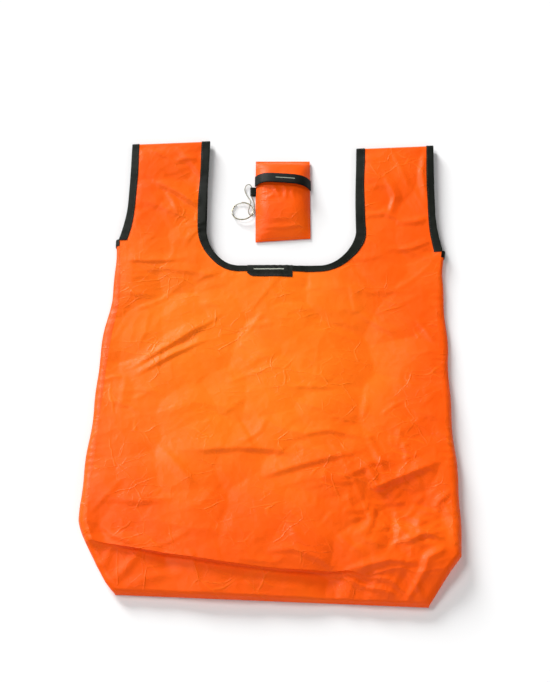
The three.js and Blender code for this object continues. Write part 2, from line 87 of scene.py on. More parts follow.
TOP = cad_high[1] / MM
BOTTOM = cad_low[1] / MM
FOLD = round(box_mm("left_strap_front")[0][1])
ARMPIT = box_mm("left_gusset")[1][1]
WIDEST_HALF = cad_high[0] / MM + 0.5
NECK_BOTTOM = FOLD - 40
NECK_HALF = 93.5
NECK_CORNER = (43.0, 62.0)
STRAP_OUTER = 190.5
ARMHOLE_FLARE = 8.0
ARMHOLE_LENGTH = 55.0
ARMPIT_HALF = 203.0
STRAP_MIDDLE = 142
WIDEST_Y = -205.5
CORNER_INSET = 43.0
CREASE_Y = box_mm("front_panel")[0][1]
FLAT_Y = 110.0
FRONT_LEVEL = 10.0
BACK_LEVEL = 1.6
SETTLED_LEVEL = 0.5
CROWN, CROWN_AT, SEAM_RISE = 14, 0.85, 10
ROLL_RADIUS = (FRONT_LEVEL - BACK_LEVEL) / 2
ROLL_Y = TOP - 1.6 - ROLL_RADIUS
ROLL_Z = (FRONT_LEVEL + BACK_LEVEL) / 2
ROLL_LENGTH = math.pi * ROLL_RADIUS
print("fold line at", FOLD, "armpit at", round(ARMPIT, 1), "crease at", round(CREASE_Y, 1))

# %% [markdown]
# The camera stands behind the bottom edge and looks down at 60 degrees, as someone does who
# photographs a thing on a table. A long lens keeps the bag from spreading towards the viewer.

# %% Camera
camera_data = bpy.data.cameras.new("camera")
camera_data.lens = 100.3
camera_data.sensor_width = 36
camera_data.clip_end = 30
camera = bpy.data.objects.new("camera", camera_data)
camera.location = (-0.0035, -1.113, 1.976)
camera.rotation_euler = (math.radians(30), 0, 0)
bpy.context.scene.collection.objects.link(camera)
bpy.context.scene.camera = camera
print("camera stands", round((camera.location - Vector((0, 0, 0))).length, 2), "m away")

# %% [markdown]
# Colours are written as they are seen on a screen. A shader works with linear light, so one
# function turns a hex colour into linear values. The others add the few kinds of shader node
# that every material here is made of, with sizes in millimetres.


# %% Colour and node helpers
def linear(hex_colour):
    channels = [int(hex_colour[i : i + 2], 16) / 255 for i in (1, 3, 5)]
    light = [c / 12.92 if c <= 0.04045 else ((c + 0.055) / 1.055) ** 2.4 for c in channels]
    return (*light, 1.0)


def feed(node, **inputs):
    """Set or link a node's inputs. i0, i1 and so on stand for an input's number."""
    for name, value in inputs.items():
        numbered = name[0] == "i" and name[1:].isdigit()
        socket = node.inputs[int(name[1:]) if numbered else name.replace("_", " ")]
        if isinstance(value, bpy.types.NodeSocket):
            node.id_data.links.new(value, socket)
        else:
            socket.default_value = value
    return node


def add_node(tree, kind, settings=(), **inputs):
    node = tree.nodes.new("ShaderNode" + kind)
    for name, value in dict(settings).items():
        setattr(node, name, value)
    return feed(node, **inputs)


def new_material(name, coordinates="UV"):
    material = bpy.data.materials.new(name)
    material.use_nodes = True
    tree = material.node_tree
    tree.nodes.clear()
    shader = add_node(tree, "BsdfPrincipled")
    add_node(tree, "OutputMaterial", Surface=shader.outputs[0])
    return material, tree, shader, add_node(tree, "TexCoord").outputs[coordinates]


def calc(tree, operation, *values, kind="Math", output=0):
    """Arithmetic on numbers, vectors and sockets."""
    inputs = {f"i{i}": value for i, value in enumerate(values)}
    return add_node(tree, kind, {"operation": operation}, **inputs).outputs[output]


def remap(tree, value, start, end, low, high, how="LINEAR"):
    """Low at start and high at end, straight or eased between."""
    settings = {"interpolation_type": how}
    return add_node(tree, "MapRange", settings, Value=value, i1=start, i2=end, i3=low, i4=high).outputs[0]


def noise(tree, place, size, output=0, **inputs):
    """Soft random blobs of about one size."""
    return add_node(tree, "TexNoise", Vector=place, Scale=1 / (size * MM), **inputs).outputs[output]


def cell_distance(tree, place, size, feature="F1"):
    """Distance from the middles of random cells, or from their borders."""
    node = add_node(tree, "TexVoronoi", {"feature": feature}, Vector=place, Scale=1 / (size * MM))
    return node.outputs["Distance"]


def bands(tree, place, direction, period, **inputs):
    """Even bands. A wave texture repeats every 2 pi / (20 x scale) units."""
    scale = 2 * math.pi / (20 * period * MM)
    settings = {"bands_direction": direction}
    return add_node(tree, "TexWave", settings, Vector=place, Scale=scale, **inputs).outputs["Fac"]


def bump(tree, height, strength, depth, **under):
    """Fine relief of a given depth, on the smooth surface or on another relief."""
    return add_node(tree, "Bump", Strength=strength, Distance=depth * MM, Height=height, **under).outputs[0]


def ramp(tree, value, first_colour, last_colour, start=0.0, end=1.0):
    """A blend from one colour to another."""
    node = add_node(tree, "ValToRGB", Fac=value)
    first, last = node.color_ramp.elements
    first.position, last.position = start, end
    first.color, last.color = linear(first_colour), linear(last_colour)
    return node.outputs[0]


# %% [markdown]
# The stage is a white table under three soft lamps and a white room. Two lamps come from the
# upper left, one of them low, so that each crease has a lit side and a shaded side and the bag
# throws a soft shadow to the lower right. A weak, wide one from the front fills the shaded sides.
# Their directions and strengths were chosen by trial. The room looks white to the
# camera but sheds little light, so the lamps do the shaping.

# %% Table, lamps and room
bpy.ops.object.select_all(action="DESELECT")
bpy.ops.mesh.primitive_plane_add(size=8, location=(0, 0, -0.0002))
table = bpy.context.object
table.name = "table"
table_material, tree, shader, _ = new_material("white_table")
ray = add_node(tree, "LightPath").outputs
seen = calc(tree, "MAXIMUM", ray["Is Camera Ray"], ray["Is Glossy Ray"])
seen = calc(tree, "MAXIMUM", seen, ray["Is Transmission Ray"])
feed(shader, Base_Color=linear("#F5F5F5"), Roughness=0.9, Emission_Color=(1, 1, 1, 1))
feed(shader, Emission_Strength=calc(tree, "MULTIPLY", seen, 0.005))
table.data.materials.append(table_material)
table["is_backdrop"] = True


def soft_sun(name, towards, width_degrees, strength):
    """A very large, far lamp: its light is even over the whole table."""
    data = bpy.data.lights.new(name, "SUN")
    data.angle = math.radians(width_degrees)
    data.energy = strength
    lamp = bpy.data.objects.new(name, data)
    lamp.rotation_euler = Vector(towards).to_track_quat("Z", "Y").to_euler()
    bpy.context.scene.collection.objects.link(lamp)


soft_sun("key_lamp", (-0.5, 0.3, 0.81), 20, 1.15)
soft_sun("low_lamp", (-0.51, 0.78, 0.36), 22, 4.0)
soft_sun("front_lamp", (0.1, -0.72, 0.68), 60, 1.1)
world = bpy.data.worlds.new("room")
world.use_nodes = True
bpy.context.scene.world = world
tree = world.node_tree
ray = add_node(tree, "LightPath").outputs
seen = calc(tree, "MAXIMUM", ray["Is Camera Ray"], ray["Is Transmission Ray"])
ROOM_LIGHT = 0.13
room_level = calc(tree, "MULTIPLY_ADD", seen, 1 - ROOM_LIGHT, ROOM_LIGHT)
feed(tree.nodes["Background"], Color=(1, 1, 1, 1), Strength=room_level)
bpy.context.scene.view_settings.view_transform = "Standard"
print("table, three lamps and a white room")

# %% [markdown]
# The split ring hangs on a thin braided cord that leaves the webbing tab on the pouch's side,
# swings up in a small loop, runs down through the ring and back to the tab. It is a closed loop
# about a tenth of a metre long. The curve follows the same route as the measured model.

# %% The cord's route
pouch_low, pouch_high = box_mm("pouch_back")
POUCH_X = (pouch_low[0] + pouch_high[0]) / 2
POUCH_Y = (pouch_low[1] + pouch_high[1]) / 2
EYE_X, TAB_Y, EYE_Z = -39.4, 14.5, 1.8
steps_from_eye = [
    (0, 0, EYE_Z), (0, 3, EYE_Z), (0, 6, EYE_Z), (-0.3, 8.5, EYE_Z), (-2.6, 11, 1.9), (-5.8, 10.4, 1.8),
    (-7.9, 7, 1.6), (-8.3, 2.5, 1.5), (-6.6, -3.5, 1.7), (-3.6, -9, 2.4), (-1.4, -14, 3.6),
    (-0.9, -18.6, 4.9), (-1.7, -22, 5.1), (-2.8, -25.5, 3.6), (-3.5, -29, 1.6), (-2.9, -32.2, 0.75),
    (0.1, -34.4, 0.65), (3.2, -32.6, 0.7), (3.9, -28.6, 0.8), (3.5, -23, 0.8), (3.1, -17.5, 0.9),
    (1.9, -12.5, 1.2), (0.3, -8.4, EYE_Z), (0, -5.5, EYE_Z), (0, -2.5, EYE_Z),
]
route = np.array(steps_from_eye) + np.array([EYE_X + POUCH_X, TAB_Y + POUCH_Y, 0])


def smooth_path(points, per_span):
    """Catmull-Rom points through the given ones."""
    padded = np.vstack([2 * points[0] - points[1], points, 2 * points[-1] - points[-2]])
    t = np.linspace(0, 1, per_span, endpoint=False)[:, None]
    spans = []
    for a, b, c, d in zip(padded, padded[1:], padded[2:], padded[3:]):
        bend, twist = 2 * a - 5 * b + 4 * c - d, 3 * b - a - 3 * c + d
        spans.append(0.5 * (2 * b + (c - a) * t + bend * t**2 + twist * t**3))
    return np.vstack(spans + [points[-1:]])


cord_line = smooth_path(route, 8)

# %% [markdown]
# The bag is nylon taffeta: a plain, tightly woven cloth of fine filament yarn, dyed a strong
# orange and coated inside. It keeps the creases it was packed with. Those that can be felt are
# in the mesh. The finest ones, and the weave, are bump. The real threads are about 0.2 mm apart,
# too fine to show, so they are drawn at 0.5 mm. Three things are painted light: a paler pool in
# the middle of the front where the light falls brightest, paler thin lines along sharp folds as
# painted glints, and a faint red emission, a painted glow that keeps the shaded folds red.

# %% Nylon taffeta
nylon, tree, shader, place = new_material("orange_nylon_taffeta")
soft = noise(tree, place, 90, Detail=2.0, Roughness=0.4)
streak = noise(tree, place, 22, Detail=6.0, Roughness=0.65, Distortion=0.5)
# Painted light: the cloth is paler in a broad pool round the middle of the front, where the light falls
# brightest.
from_lit_middle = calc(tree, "MULTIPLY_ADD", place, (3.9, 3.3, 0.0), (0.17, -0.07, 0.0), kind="VectorMath")
from_lit_middle = calc(tree, "LENGTH", from_lit_middle, kind="VectorMath", output="Value")
painted_light_pool = remap(tree, from_lit_middle, 0.25, 1.0, 0.55, 0.0, "SMOOTHSTEP")
shade = calc(tree, "MULTIPLY_ADD", streak, 0.12, calc(tree, "MULTIPLY", soft, 0.6))
shade = calc(tree, "ADD", shade, painted_light_pool)

# Sharp old folds: the borders of large and small random cells, in patches
patch = remap(tree, noise(tree, place, 60, Detail=1.0), 0.46, 0.6, 0.0, 1.0)
wander = noise(tree, place, 40, "Color", Detail=2.0)
bent = calc(tree, "MULTIPLY_ADD", wander, (0.02, 0.02, 0.0), place, kind="VectorMath")
squeezed = calc(tree, "MULTIPLY", bent, (1.0, 1.6, 0.0), kind="VectorMath")
fold_lines = []
for fold_size, fold_width in ((44, 0.03), (19, 0.045)):
    border = cell_distance(tree, squeezed, fold_size, "DISTANCE_TO_EDGE")
    line = remap(tree, border, 0.0, fold_width, 1.0, 0.0, "SMOOTHSTEP")
    fold_lines.append(calc(tree, "MULTIPLY", line, patch))
fold_ridges_and_glints = calc(tree, "MULTIPLY_ADD", fold_lines[1], 0.5, fold_lines[0])
# Painted glints: the base colour is made paler along the thin fold lines. The same mask also drives the
# fold relief below.
shade = calc(tree, "MULTIPLY_ADD", fold_ridges_and_glints, 0.14, shade)
feed(shader, Base_Color=ramp(tree, shade, "#F65906", "#F97510", 0.36, 0.92))

# Relief, from the broad crinkles down to the threads
packed = calc(tree, "MULTIPLY_ADD", cell_distance(tree, bent, 9), 0.3, cell_distance(tree, bent, 26))
weave = calc(tree, "MULTIPLY", bands(tree, place, "X", 0.5), bands(tree, place, "Y", 0.5))
relief = bump(tree, packed, 0.5, 1.9)
relief = bump(tree, streak, 0.35, 1.6, Normal=relief)
relief = bump(tree, fold_ridges_and_glints, 0.8, 0.4, Normal=relief)
relief = bump(tree, weave, 0.25, 0.08, Normal=relief)
feed(shader, Normal=relief, Roughness=remap(tree, streak, 0.3, 0.7, 0.38, 0.5), IOR=1.53)
feed(shader, Specular_IOR_Level=0.11, Sheen_Weight=0.03, Sheen_Roughness=0.5)
# Painted glow: a faint red emission keeps the shaded folds red.
feed(shader, Sheen_Tint=linear("#FFA070"), Emission_Color=linear("#FF2400"), Emission_Strength=0.06)
print("nylon ready")

# %% [markdown]
# Binding tape is folded polyester webbing with fine ribs across it, very dark green-black. The
# ribs are drawn at 0.9 mm. Its UV map runs along and across the tape, so the ribs follow every
# curve. The sewing thread is the same colour and a little glossier. A twisted orange thread
# holds the seams of the orange cloth.

# %% Binding tape and threads
tape, tree, shader, place = new_material("polyester_binding_tape")
ribs = bands(tree, place, "X", 0.9, Distortion=0.6, Detail=1.0)
mixed = calc(tree, "MULTIPLY_ADD", ribs, 0.3, noise(tree, place, 9, Detail=4.0))
feed(shader, Base_Color=ramp(tree, mixed, "#050803", "#0E150A", 0.4, 0.95))
feed(shader, Normal=bump(tree, mixed, 0.5, 0.15), Roughness=0.62, Specular_IOR_Level=0.15)


def thread_material(name, dark, pale, roughness):
    material, tree, shader, place = new_material(name, "Object")
    twist = noise(tree, place, 0.6, Detail=2.0)
    feed(shader, Base_Color=ramp(tree, twist, dark, pale), Roughness=roughness)
    return material


thread = thread_material("polyester_sewing_thread", "#10150E", "#333B2B", 0.45)
orange_thread = thread_material("orange_sewing_thread", "#D84206", "#F2691F", 0.5)
print("tape and threads ready")

# %% [markdown]
# The label over the front neck is woven from the same dark yarn, with a plain pale stripe as
# its only decoration, and so is the band on the pouch's flap. The stripe is a box in the cloth's
# own UV map, whose U runs along the piece and V across it.


# %% Woven label
def within(tree, value, middle, half):
    """One where value lies within half of middle, in millimetres."""
    off = calc(tree, "ABSOLUTE", calc(tree, "SUBTRACT", value, middle * MM))
    return calc(tree, "LESS_THAN", off, half * MM)


def striped(name, middle, half_width, left, right, ground, pale):
    material, tree, shader, place = new_material(name)
    parts = add_node(tree, "SeparateXYZ", Vector=place).outputs
    stripe = within(tree, parts[1], middle, half_width)
    stripe = calc(tree, "MULTIPLY", stripe, within(tree, parts[0], (left + right) / 2, (right - left) / 2))
    yarn = calc(tree, "MULTIPLY", bands(tree, place, "X", 0.5), bands(tree, place, "Y", 0.7))
    mix = add_node(tree, "Mix", {"data_type": "RGBA"}, Factor=stripe, i6=linear(ground), i7=linear(pale))
    tint = remap(tree, yarn, 0.0, 1.0, 0.8, 1.25)
    hsv = add_node(tree, "HueSaturation", Color=mix.outputs[2], Value=tint)
    feed(shader, Base_Color=hsv.outputs[0], Normal=bump(tree, yarn, 0.5, 0.12))
    feed(shader, Roughness=0.6, Specular_IOR_Level=0.15)
    return material


label_cloth = striped("woven_polyester_label", 5.2, 0.7, 8, 46, "#0C120A", "#B9BDAE")
print("label ready")

# %% [markdown]
# The ring is spring steel wire with a thin nickel plating, bright but dulled by handling. The
# cord is a fine round braid of grey-olive polyester. Its diagonal pattern is drawn with a wave
# across the object, since the cord is only 1.1 mm thick.

# %% Steel and cord
steel, tree, shader, place = new_material("nickel_plated_spring_steel", "Object")
handled = noise(tree, place, 3, Detail=4.0)
feed(shader, Base_Color=ramp(tree, handled, "#807A60", "#B5AF92", 0.3, 0.75), Metallic=1.0)
feed(shader, Roughness=remap(tree, handled, 0.3, 0.7, 0.22, 0.4), Normal=bump(tree, handled, 0.15, 0.03))

braid, tree, shader, place = new_material("braided_polyester_cord", "Object")
strands = bands(tree, place, "DIAGONAL", 0.55, Distortion=0.4)
feed(shader, Base_Color=ramp(tree, strands, "#6E6D5C", "#A7A48E"), Roughness=0.6)
feed(shader, Normal=bump(tree, strands, 0.6, 0.1))
print("steel and cord ready")

# %% [markdown]
# Every piece rides on one body of the model, except where its body is a strap: there it stays
# fixed where it lies. It takes the place of the plain solids it stands for, which are hidden.

# %% Fixing pieces to the model
FOLD_ZONE = {"left": (165.8, 181.8), "right": (165.1, 181.1)}


def attach(pieces, body, kind, *nodes):
    """The pieces ride on a body, or stay fixed where they lie when the body is a strap. The nodes are
    hidden.
    """
    for piece in pieces:
        if body in FOLD_ZONE:
            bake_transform(piece)
        else:
            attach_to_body(piece, body)
    if nodes:
        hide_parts(*nodes)


# %% [markdown]
# The cord is a curve with a round section. Its own line is its centreline, so its length can be
# measured along it.

# %% Make the cord
cord_curve = bpy.data.curves.new("loop_of_cord", "CURVE")
cord_curve.dimensions = "3D"
cord_curve.bevel_depth = 0.55 * MM
cord_curve.bevel_resolution = 3
cord_curve.resolution_u = 2
cord_curve.use_fill_caps = True
spline = cord_curve.splines.new("POLY")
spline.points.add(len(cord_line) - 1)
spline.points.foreach_set("co", np.c_[cord_line * MM, np.ones(len(cord_line))].ravel())
cord = bpy.data.objects.new("loop_of_cord", cord_curve)
cord.data.materials.append(braid)
bpy.context.scene.collection.objects.link(cord)
attach([cord], "key_ring", "cord", "loop_cord")

# %% [markdown]
# The cut of the bag is described once, by a few functions of the distance from the bottom edge,
# and everything else is laid on it: the half width of the body, the neckline, the armholes, and
# the height of the cloth above the table. The real bag is a flat bag with a side fold, called a
# gusset, and its right bottom corner is folded straight while its left one is round.


# %% The cut of the bag
def ease(t):
    t = np.clip(t, 0, 1)
    return t * t * (3 - 2 * t)


def part(value, start, end):
    """0 at start, 1 at end, and no further."""
    return np.clip((value - start) / (end - start), 0, 1)


def mix_of(a, b, t):
    return a + (b - a) * t


def body_half(y, side):
    upper = ARMPIT_HALF + (WIDEST_HALF - ARMPIT_HALF) * part(y, ARMPIT, WIDEST_Y) ** 1.4
    turned_in = 1 - (1 - part(y, WIDEST_Y - 18, BOTTOM) ** 1.3) ** (1 / 1.3)
    corner = np.where(side > 0, part(y, WIDEST_Y - 48, BOTTOM), turned_in)
    return np.where(y >= WIDEST_Y, upper, WIDEST_HALF - CORNER_INSET * corner)


def bulge(y):
    return mix_of(4.0, 9.5, ease((ARMPIT - y) / 90))


def seam_half(y, side):
    return body_half(y, side) - bulge(y) - 0.5


def neck_edge(y):
    below = part(y, NECK_BOTTOM + NECK_CORNER[1], NECK_BOTTOM)
    return NECK_HALF - NECK_CORNER[0] + NECK_CORNER[0] * np.sqrt(np.clip(1 - below**2, 0, 1))


def armhole_edge(y):
    return STRAP_OUTER + ARMHOLE_FLARE * part(y, FOLD + ARMHOLE_LENGTH, FOLD) ** 2


def outer_edge(y, side):
    return np.where(y > ARMPIT, armhole_edge(y), seam_half(y, side))


def front_height(u, y):
    """u runs from -1 at the left seam to 1 at the right one. The body crowns between them."""
    t = part(y, FLAT_Y, CREASE_Y)
    past = part(t, CROWN_AT, 1)
    crown = CROWN * ease(t / CROWN_AT) - (4 + 3 * ease((u - 0.2) / 0.4)) * past**2
    seam = SEAM_RISE * ease(t)
    return FRONT_LEVEL + seam + (crown - seam) * (1 - np.minimum(np.abs(u), 1) ** 2.5)


def back_height(y):
    return mix_of(SETTLED_LEVEL, BACK_LEVEL, ease((y - 60) / 50))


print("widest", round(float(body_half(np.array(WIDEST_Y), 1)) * 2, 1), "mm across")

# %% [markdown]
# Creases give thin cloth its character. A crease runs along a short path. The cloth climbs slowly
# to it from one side and drops quickly on the other, which gives it a bright side and a dark
# side. By hand it would be a sculpted stroke, and a function is the same stroke written down.


# %% One crease
def stroke(x, y, path, height, left, right):
    """Height of one crease. left and right are its widths on either side of its direction."""
    left, right = 0.85 * left, 0.72 * right
    path = np.array(path, float)
    spans = np.diff(path, axis=0)
    lengths = np.linalg.norm(spans, axis=1)
    before = 0.0
    nearest = np.full(x.shape, 1e9)
    out = np.zeros(x.shape)
    for start, span, length in zip(path, spans, lengths):
        t = np.clip(((x - start[0]) * span[0] + (y - start[1]) * span[1]) / length**2, 0, 1)
        dx, dy = x - start[0] - t * span[0], y - start[1] - t * span[1]
        far = np.hypot(dx, dy)
        on_right = (dx * span[1] - dy * span[0]) > 0
        walked_share = (before + t * length) / lengths.sum()
        q = np.clip(1 - far / np.where(on_right, right, left), 0, 1)
        window = np.sin(math.pi * np.clip(walked_share, 0.02, 0.98)) ** 0.6
        out = np.where(far < nearest, height * q**1.15 * window, out)
        nearest = np.minimum(nearest, far)
        before += length
    return out


def strokes(x, y, creases):
    return sum(stroke(x, y, *crease) for crease in creases)


# %% [markdown]
# These are the main creases of the front, placed one by one: they follow how such a bag was
# folded up, with strokes across the straps, over the chest and round the lower right corner.
# Each has the points of its path, its height, and its widths to the left and to the right.

# %% Main creases
MAIN_CREASES = [
    # left strap
    ([(-160, 251), (-130, 233), (-103, 213)], 3.0, 22, 6),
    ([(-131, 294), (-114, 276), (-101, 257)], 2.0, 14, 6),
    ([(-146, 236), (-136, 222), (-128, 204)], 1.6, 9, 5),
    ([(-140, 278), (-118, 284), (-100, 280)], 1.3, 9, 5),
    ([(-172, 300), (-146, 286)], 1.3, 8, 5),
    ([(-175, 222), (-150, 214), (-118, 196)], 1.3, 12, 7),
    # fold across the foot of the left strap, and the softer ones under it
    ([(-190, 136), (-160, 134), (-126, 136)], 1.6, 12, 4),
    ([(-188, 118), (-140, 124), (-70, 112)], 0.9, 14, 7),
    ([(-60, 112), (-110, 84), (-150, 38)], 0.8, 24, 14),
    # right strap
    ([(128, 268), (141, 240), (134, 214)], 2.0, 12, 7),
    ([(104, 208), (128, 215), (148, 208)], 1.6, 8, 5),
    ([(140, 204), (165, 206), (184, 214)], 1.6, 9, 5),
    ([(180, 300), (176, 270), (181, 232)], 1.5, 6, 10),
    ([(104, 246), (122, 254), (136, 252)], 0.7, 7, 4),
    ([(120, 160), (160, 168), (186, 182)], 0.9, 10, 6),
    # chest
    ([(-167, -20), (-120, 16), (-73, 52)], 2.2, 20, 6),
    ([(-160, -30), (-120, -2), (-83, 20)], 1.9, 12, 5),
    ([(99, 66), (122, 50), (146, 37)], 1.1, 14, 7),
    ([(172, 58), (182, 42), (190, 27)], 1.4, 7, 6),
    ([(60, 100), (110, 96), (170, 108)], 0.8, 16, 10),
    ([(-30, 60), (20, 72), (70, 60)], 0.8, 30, 18),
    # across the middle
    ([(-90, -136), (-40, -131), (2, -132), (33, -139)], 2.4, 24, 8),
    ([(24, -116), (50, -107), (67, -104), (106, -112)], 2.0, 18, 8),
    ([(-12, -168), (28, -154), (61, -143), (102, -131)], 2.6, 22, 8),
    ([(-135, -124), (-112, -150), (-88, -180)], 1.6, 9, 14),
    ([(-200, -40), (-190, -33), (-178, -34)], 1.2, 6, 6),
    ([(-150, -88), (-90, -70), (-30, -78)], 0.9, 26, 16),
    # right flank
    ([(72, -166), (92, -160), (110, -152), (122, -176), (158, -158), (196, -138)], 3.2, 18, 8),
    ([(110, -108), (124, -138), (130, -168)], 1.5, 9, 9),
    ([(146, -96), (156, -130), (152, -160)], 0.9, 8, 8),
    ([(88, -284), (112, -272), (134, -266), (168, -268)], 2.4, 12, 7),
    ([(104, -250), (112, -226), (120, -200)], 1.3, 10, 8),
    ([(142, -200), (146, -226), (140, -252)], 1.3, 9, 9),
    ([(160, -196), (186, -206), (204, -204)], 1.6, 9, 7),
    ([(206, -176), (192, -190), (188, -208)], 1.6, 7, 7),
    ([(150, -246), (172, -232), (200, -236)], 2.2, 12, 7),
    ([(168, -286), (176, -262), (196, -250)], 2.4, 9, 9),
    # above the bottom crease
    ([(-150, -222), (-90, -236), (-20, -240)], 1.2, 22, 14),
    ([(-186, -196), (-150, -204), (-110, -198)], 1.4, 16, 9),
    ([(-10, -262), (26, -258), (60, -270), (78, -284)], 1.6, 12, 7),
    ([(-190, -232), (-176, -246), (-150, -256)], 1.6, 12, 7),
]
print(len(MAIN_CREASES), "main creases")

# %% [markdown]
# Between them the cloth is full of small creases, more of them in the lower right corner, where
# it was crushed. They are random, from a seeded generator. Shallow flat plates, large ones all
# over and small ones in that corner, stand for the parts that lay flat while it was packed.


# %% Small creases and plates
def short_path(cx, cy, turn, reach, bow):
    """Three points of a short crease through a place, a little bent."""
    step = np.array([math.cos(turn), math.sin(turn)]) * reach
    middle = np.array([cx, cy]) + random.normal(0, bow, 2)
    return [(cx, cy) - step, middle, (cx, cy) + step]


random = np.random.default_rng(11)
SMALL_CREASES = []
for _ in range(150):
    cx, cy = random.uniform(-200, 200), random.uniform(-290, 300)
    turn = random.normal(0.0, 0.7) + (0.5 if cx < 0 else -0.2)
    path = short_path(cx, cy, turn, random.uniform(10, 42), 3)
    rough_spot = 1.0 + 1.1 * math.exp(-((cx - 170) ** 2 + (cy + 230) ** 2) / 80**2)
    tall = random.uniform(0.25, 0.75) * rough_spot
    SMALL_CREASES.append((path, tall, random.uniform(6, 16), random.uniform(4, 8)))
for _ in range(120):
    cx, cy = random.normal(140, 42), random.normal(-205, 52)
    turn = random.choice([0.35, 0.6, -0.7, 1.4]) + random.normal(0, 0.25)
    path = short_path(cx, cy, turn, random.uniform(5, 19), 2)
    SMALL_CREASES.append((path, random.uniform(0.3, 0.9), random.uniform(5, 11), random.uniform(4, 6)))
PLATES = random.uniform((-230, -320), (230, 320), (150, 2)), random.normal(0, 0.03, (150, 2))
CHIPS = random.uniform((30, -320), (225, -110), (190, 2)), random.normal(0, 0.07, (190, 2))


def facets(x, y, pattern, spread):
    """Shallow plates that meet in straight valleys, as in cloth that was packed small."""
    best = np.full(x.shape, -1e9)
    for seed, tilt in zip(*pattern):
        dx, dy = x - seed[0], y - seed[1]
        best = np.maximum(best, dx * tilt[0] + dy * tilt[1] - (dx**2 + dy**2) / (2 * spread))
    return best


print(len(SMALL_CREASES), "small creases")

# %% [markdown]
# The relief of the front is the sum of broad soft waves, the creases and the plates. It calms
# down near the sewn edges, where the tape holds the cloth, and fine puckers run along the seams
# there. The back lies on the table, so it only has broad, shallow hollows.


# %% Relief of the front and the back
def front_relief(x, y):
    """Height that creases add to the front cloth, in millimetres."""
    out = 0.8 * np.sin(x / 61 + y / 97 + 0.6) * np.sin(y / 74 - x / 155 + 1.1)
    out = out + 0.45 * np.sin(x / 33 - y / 58 + 2.0) * np.sin(y / 41 + x / 88)
    out = out + strokes(x, y, MAIN_CREASES + SMALL_CREASES)
    crumpled = np.exp(-((x - 150) ** 2 + (y + 225) ** 2) / 75**2)
    out = out + facets(x, y, PLATES, 320) * (0.8 + 1.0 * crumpled) + 0.5
    out = out + (facets(x, y, CHIPS, 50) + 0.6) * 0.8 * crumpled
    by_neck = (np.abs(x) < 60) & (y > NECK_BOTTOM - 40) & (y <= NECK_BOTTOM)
    inner = np.where(y > NECK_BOTTOM, np.abs(x) - neck_edge(y), np.where(by_neck, NECK_BOTTOM - y, 99))
    inner = np.clip(inner, 0, 99)
    outer = np.clip(outer_edge(y, np.sign(x)) - np.abs(x), 0, 99)
    along = np.where((np.abs(x) < 60) & (y <= NECK_BOTTOM + 6), x, y)
    uneven = 0.5 + 0.5 * np.sin(along / 13 + 1)
    pucker = 0.3 * uneven * np.sin(along / 1.55 + 2.4 * np.sin(along / 17)) * np.exp(-inner / 8)
    uneven = 0.5 + 0.5 * np.sin(y / 17 + x / 90)
    pucker = pucker + 0.26 * uneven * np.sin(y / 1.8 + 3 * np.sin(y / 21)) * np.exp(-outer / 7)
    edge = np.clip(np.minimum(inner, outer) / 14, 0, 1)
    calm = mix_of(0.25, 1.0, edge) * ease((ROLL_Y - 1 - y) / 12) * np.where(y > FLAT_Y, 1.4, 1.25)
    limit = np.where(y > FLAT_Y, 4.2, 9.0)
    return limit * np.tanh(out * calm / limit) + pucker * ease((ROLL_Y - y) / 12)


def back_relief(x, y):
    """The back cloth can only lift from the table, never sink into it."""
    lifted = 0.5 + 0.5 * np.sin(x / 27 + y / 49) * np.sin(y / 38 - x / 61)
    return -0.8 * lifted * ease((ROLL_Y - y) / 20)


height = front_relief(np.array([140.0, 0.0]), np.array([-205.0, 0.0]))
print("relief in the crushed corner and in the middle", np.round(height, 2))

# %% [markdown]
# The front, the two straps and the back are one long cut of cloth on the real bag, folded over
# at the strap tops. So a place on it is given by x and by v, the distance walked over the cloth:
# up the front, round the roll at the top of a strap, and down the back. Everything sewn to the
# cloth, such as tape, thread and label, uses the same two numbers and a lift above the cloth.
# The whole bag also lies a little askew on the table: it is sheared, its waist and its right
# armpit are pulled down, and its right strap is a little longer.


# %% From cloth to space
def back_v(y):
    return 2 * ROLL_Y + ROLL_LENGTH - y


def place_y(v):
    return np.where(v > ROLL_Y + ROLL_LENGTH, back_v(v), np.minimum(v, ROLL_Y))


def cloth_point(x, v, lift=0.0):
    x, v = np.broadcast_arrays(np.asarray(x, float), np.asarray(v, float))
    arc = np.clip((v - ROLL_Y) / ROLL_RADIUS, 0, math.pi)
    on_front, on_back = v <= ROLL_Y, v > ROLL_Y + ROLL_LENGTH
    y = place_y(v)
    u = x / np.maximum(seam_half(y, np.sign(x)), 1)
    rolled = ROLL_Z + ROLL_RADIUS * np.cos(arc)
    base = np.where(on_front, front_height(u, y), np.where(on_back, back_height(y), rolled))
    height = np.where(on_front, front_relief(x, y), np.where(on_back, back_relief(x, y), 0.0)) + lift
    out_y = y + ROLL_RADIUS * np.sin(arc) + np.sin(arc) * height
    return np.stack([x, out_y, base + np.cos(arc) * height], axis=-1)


def askew(points):
    x, y, z = np.moveaxis(points, -1, 0)
    top = ease((y - NECK_BOTTOM) / (TOP - NECK_BOTTOM))
    low = part(y, NECK_BOTTOM, BOTTOM)
    rightness = ease(x / 300 + 0.5)
    waist = mix_of(ease((85 - y) / 100), ease((178 - y) / 50), rightness) * ease((y + 330) / 100)
    tuck = 1.6 * ease((165 - y) / 30) * ease((y - 40) / 50) * (1 - rightness)
    armpit_drop = 16 * ease((x - 50) / 130) * ease((TOP - y) / 130) * ease((y + 60) / 210)
    out_y = y + top * (0.05 * x - 0.074 * STRAP_MIDDLE * np.sign(x)) + low * (5.0 - 0.044 * x)
    return np.stack([x + 0.021 * y - 4.8 * waist + tuck, out_y - armpit_drop, z], axis=-1)


# %% [markdown]
# Thin cloth is made as a grid of points, and then given a real thickness: each point is pushed
# out and in along its normal, and the open edges are closed with a rim. The normals of the whole
# cut are kept on every part of it, so that no line shows where two parts meet.


# %% Turning a grid of points into cloth
def grid_of(*coordinates):
    """A grid of points from numbers, rows and columns."""
    return np.stack(np.broadcast_arrays(*coordinates), axis=-1)


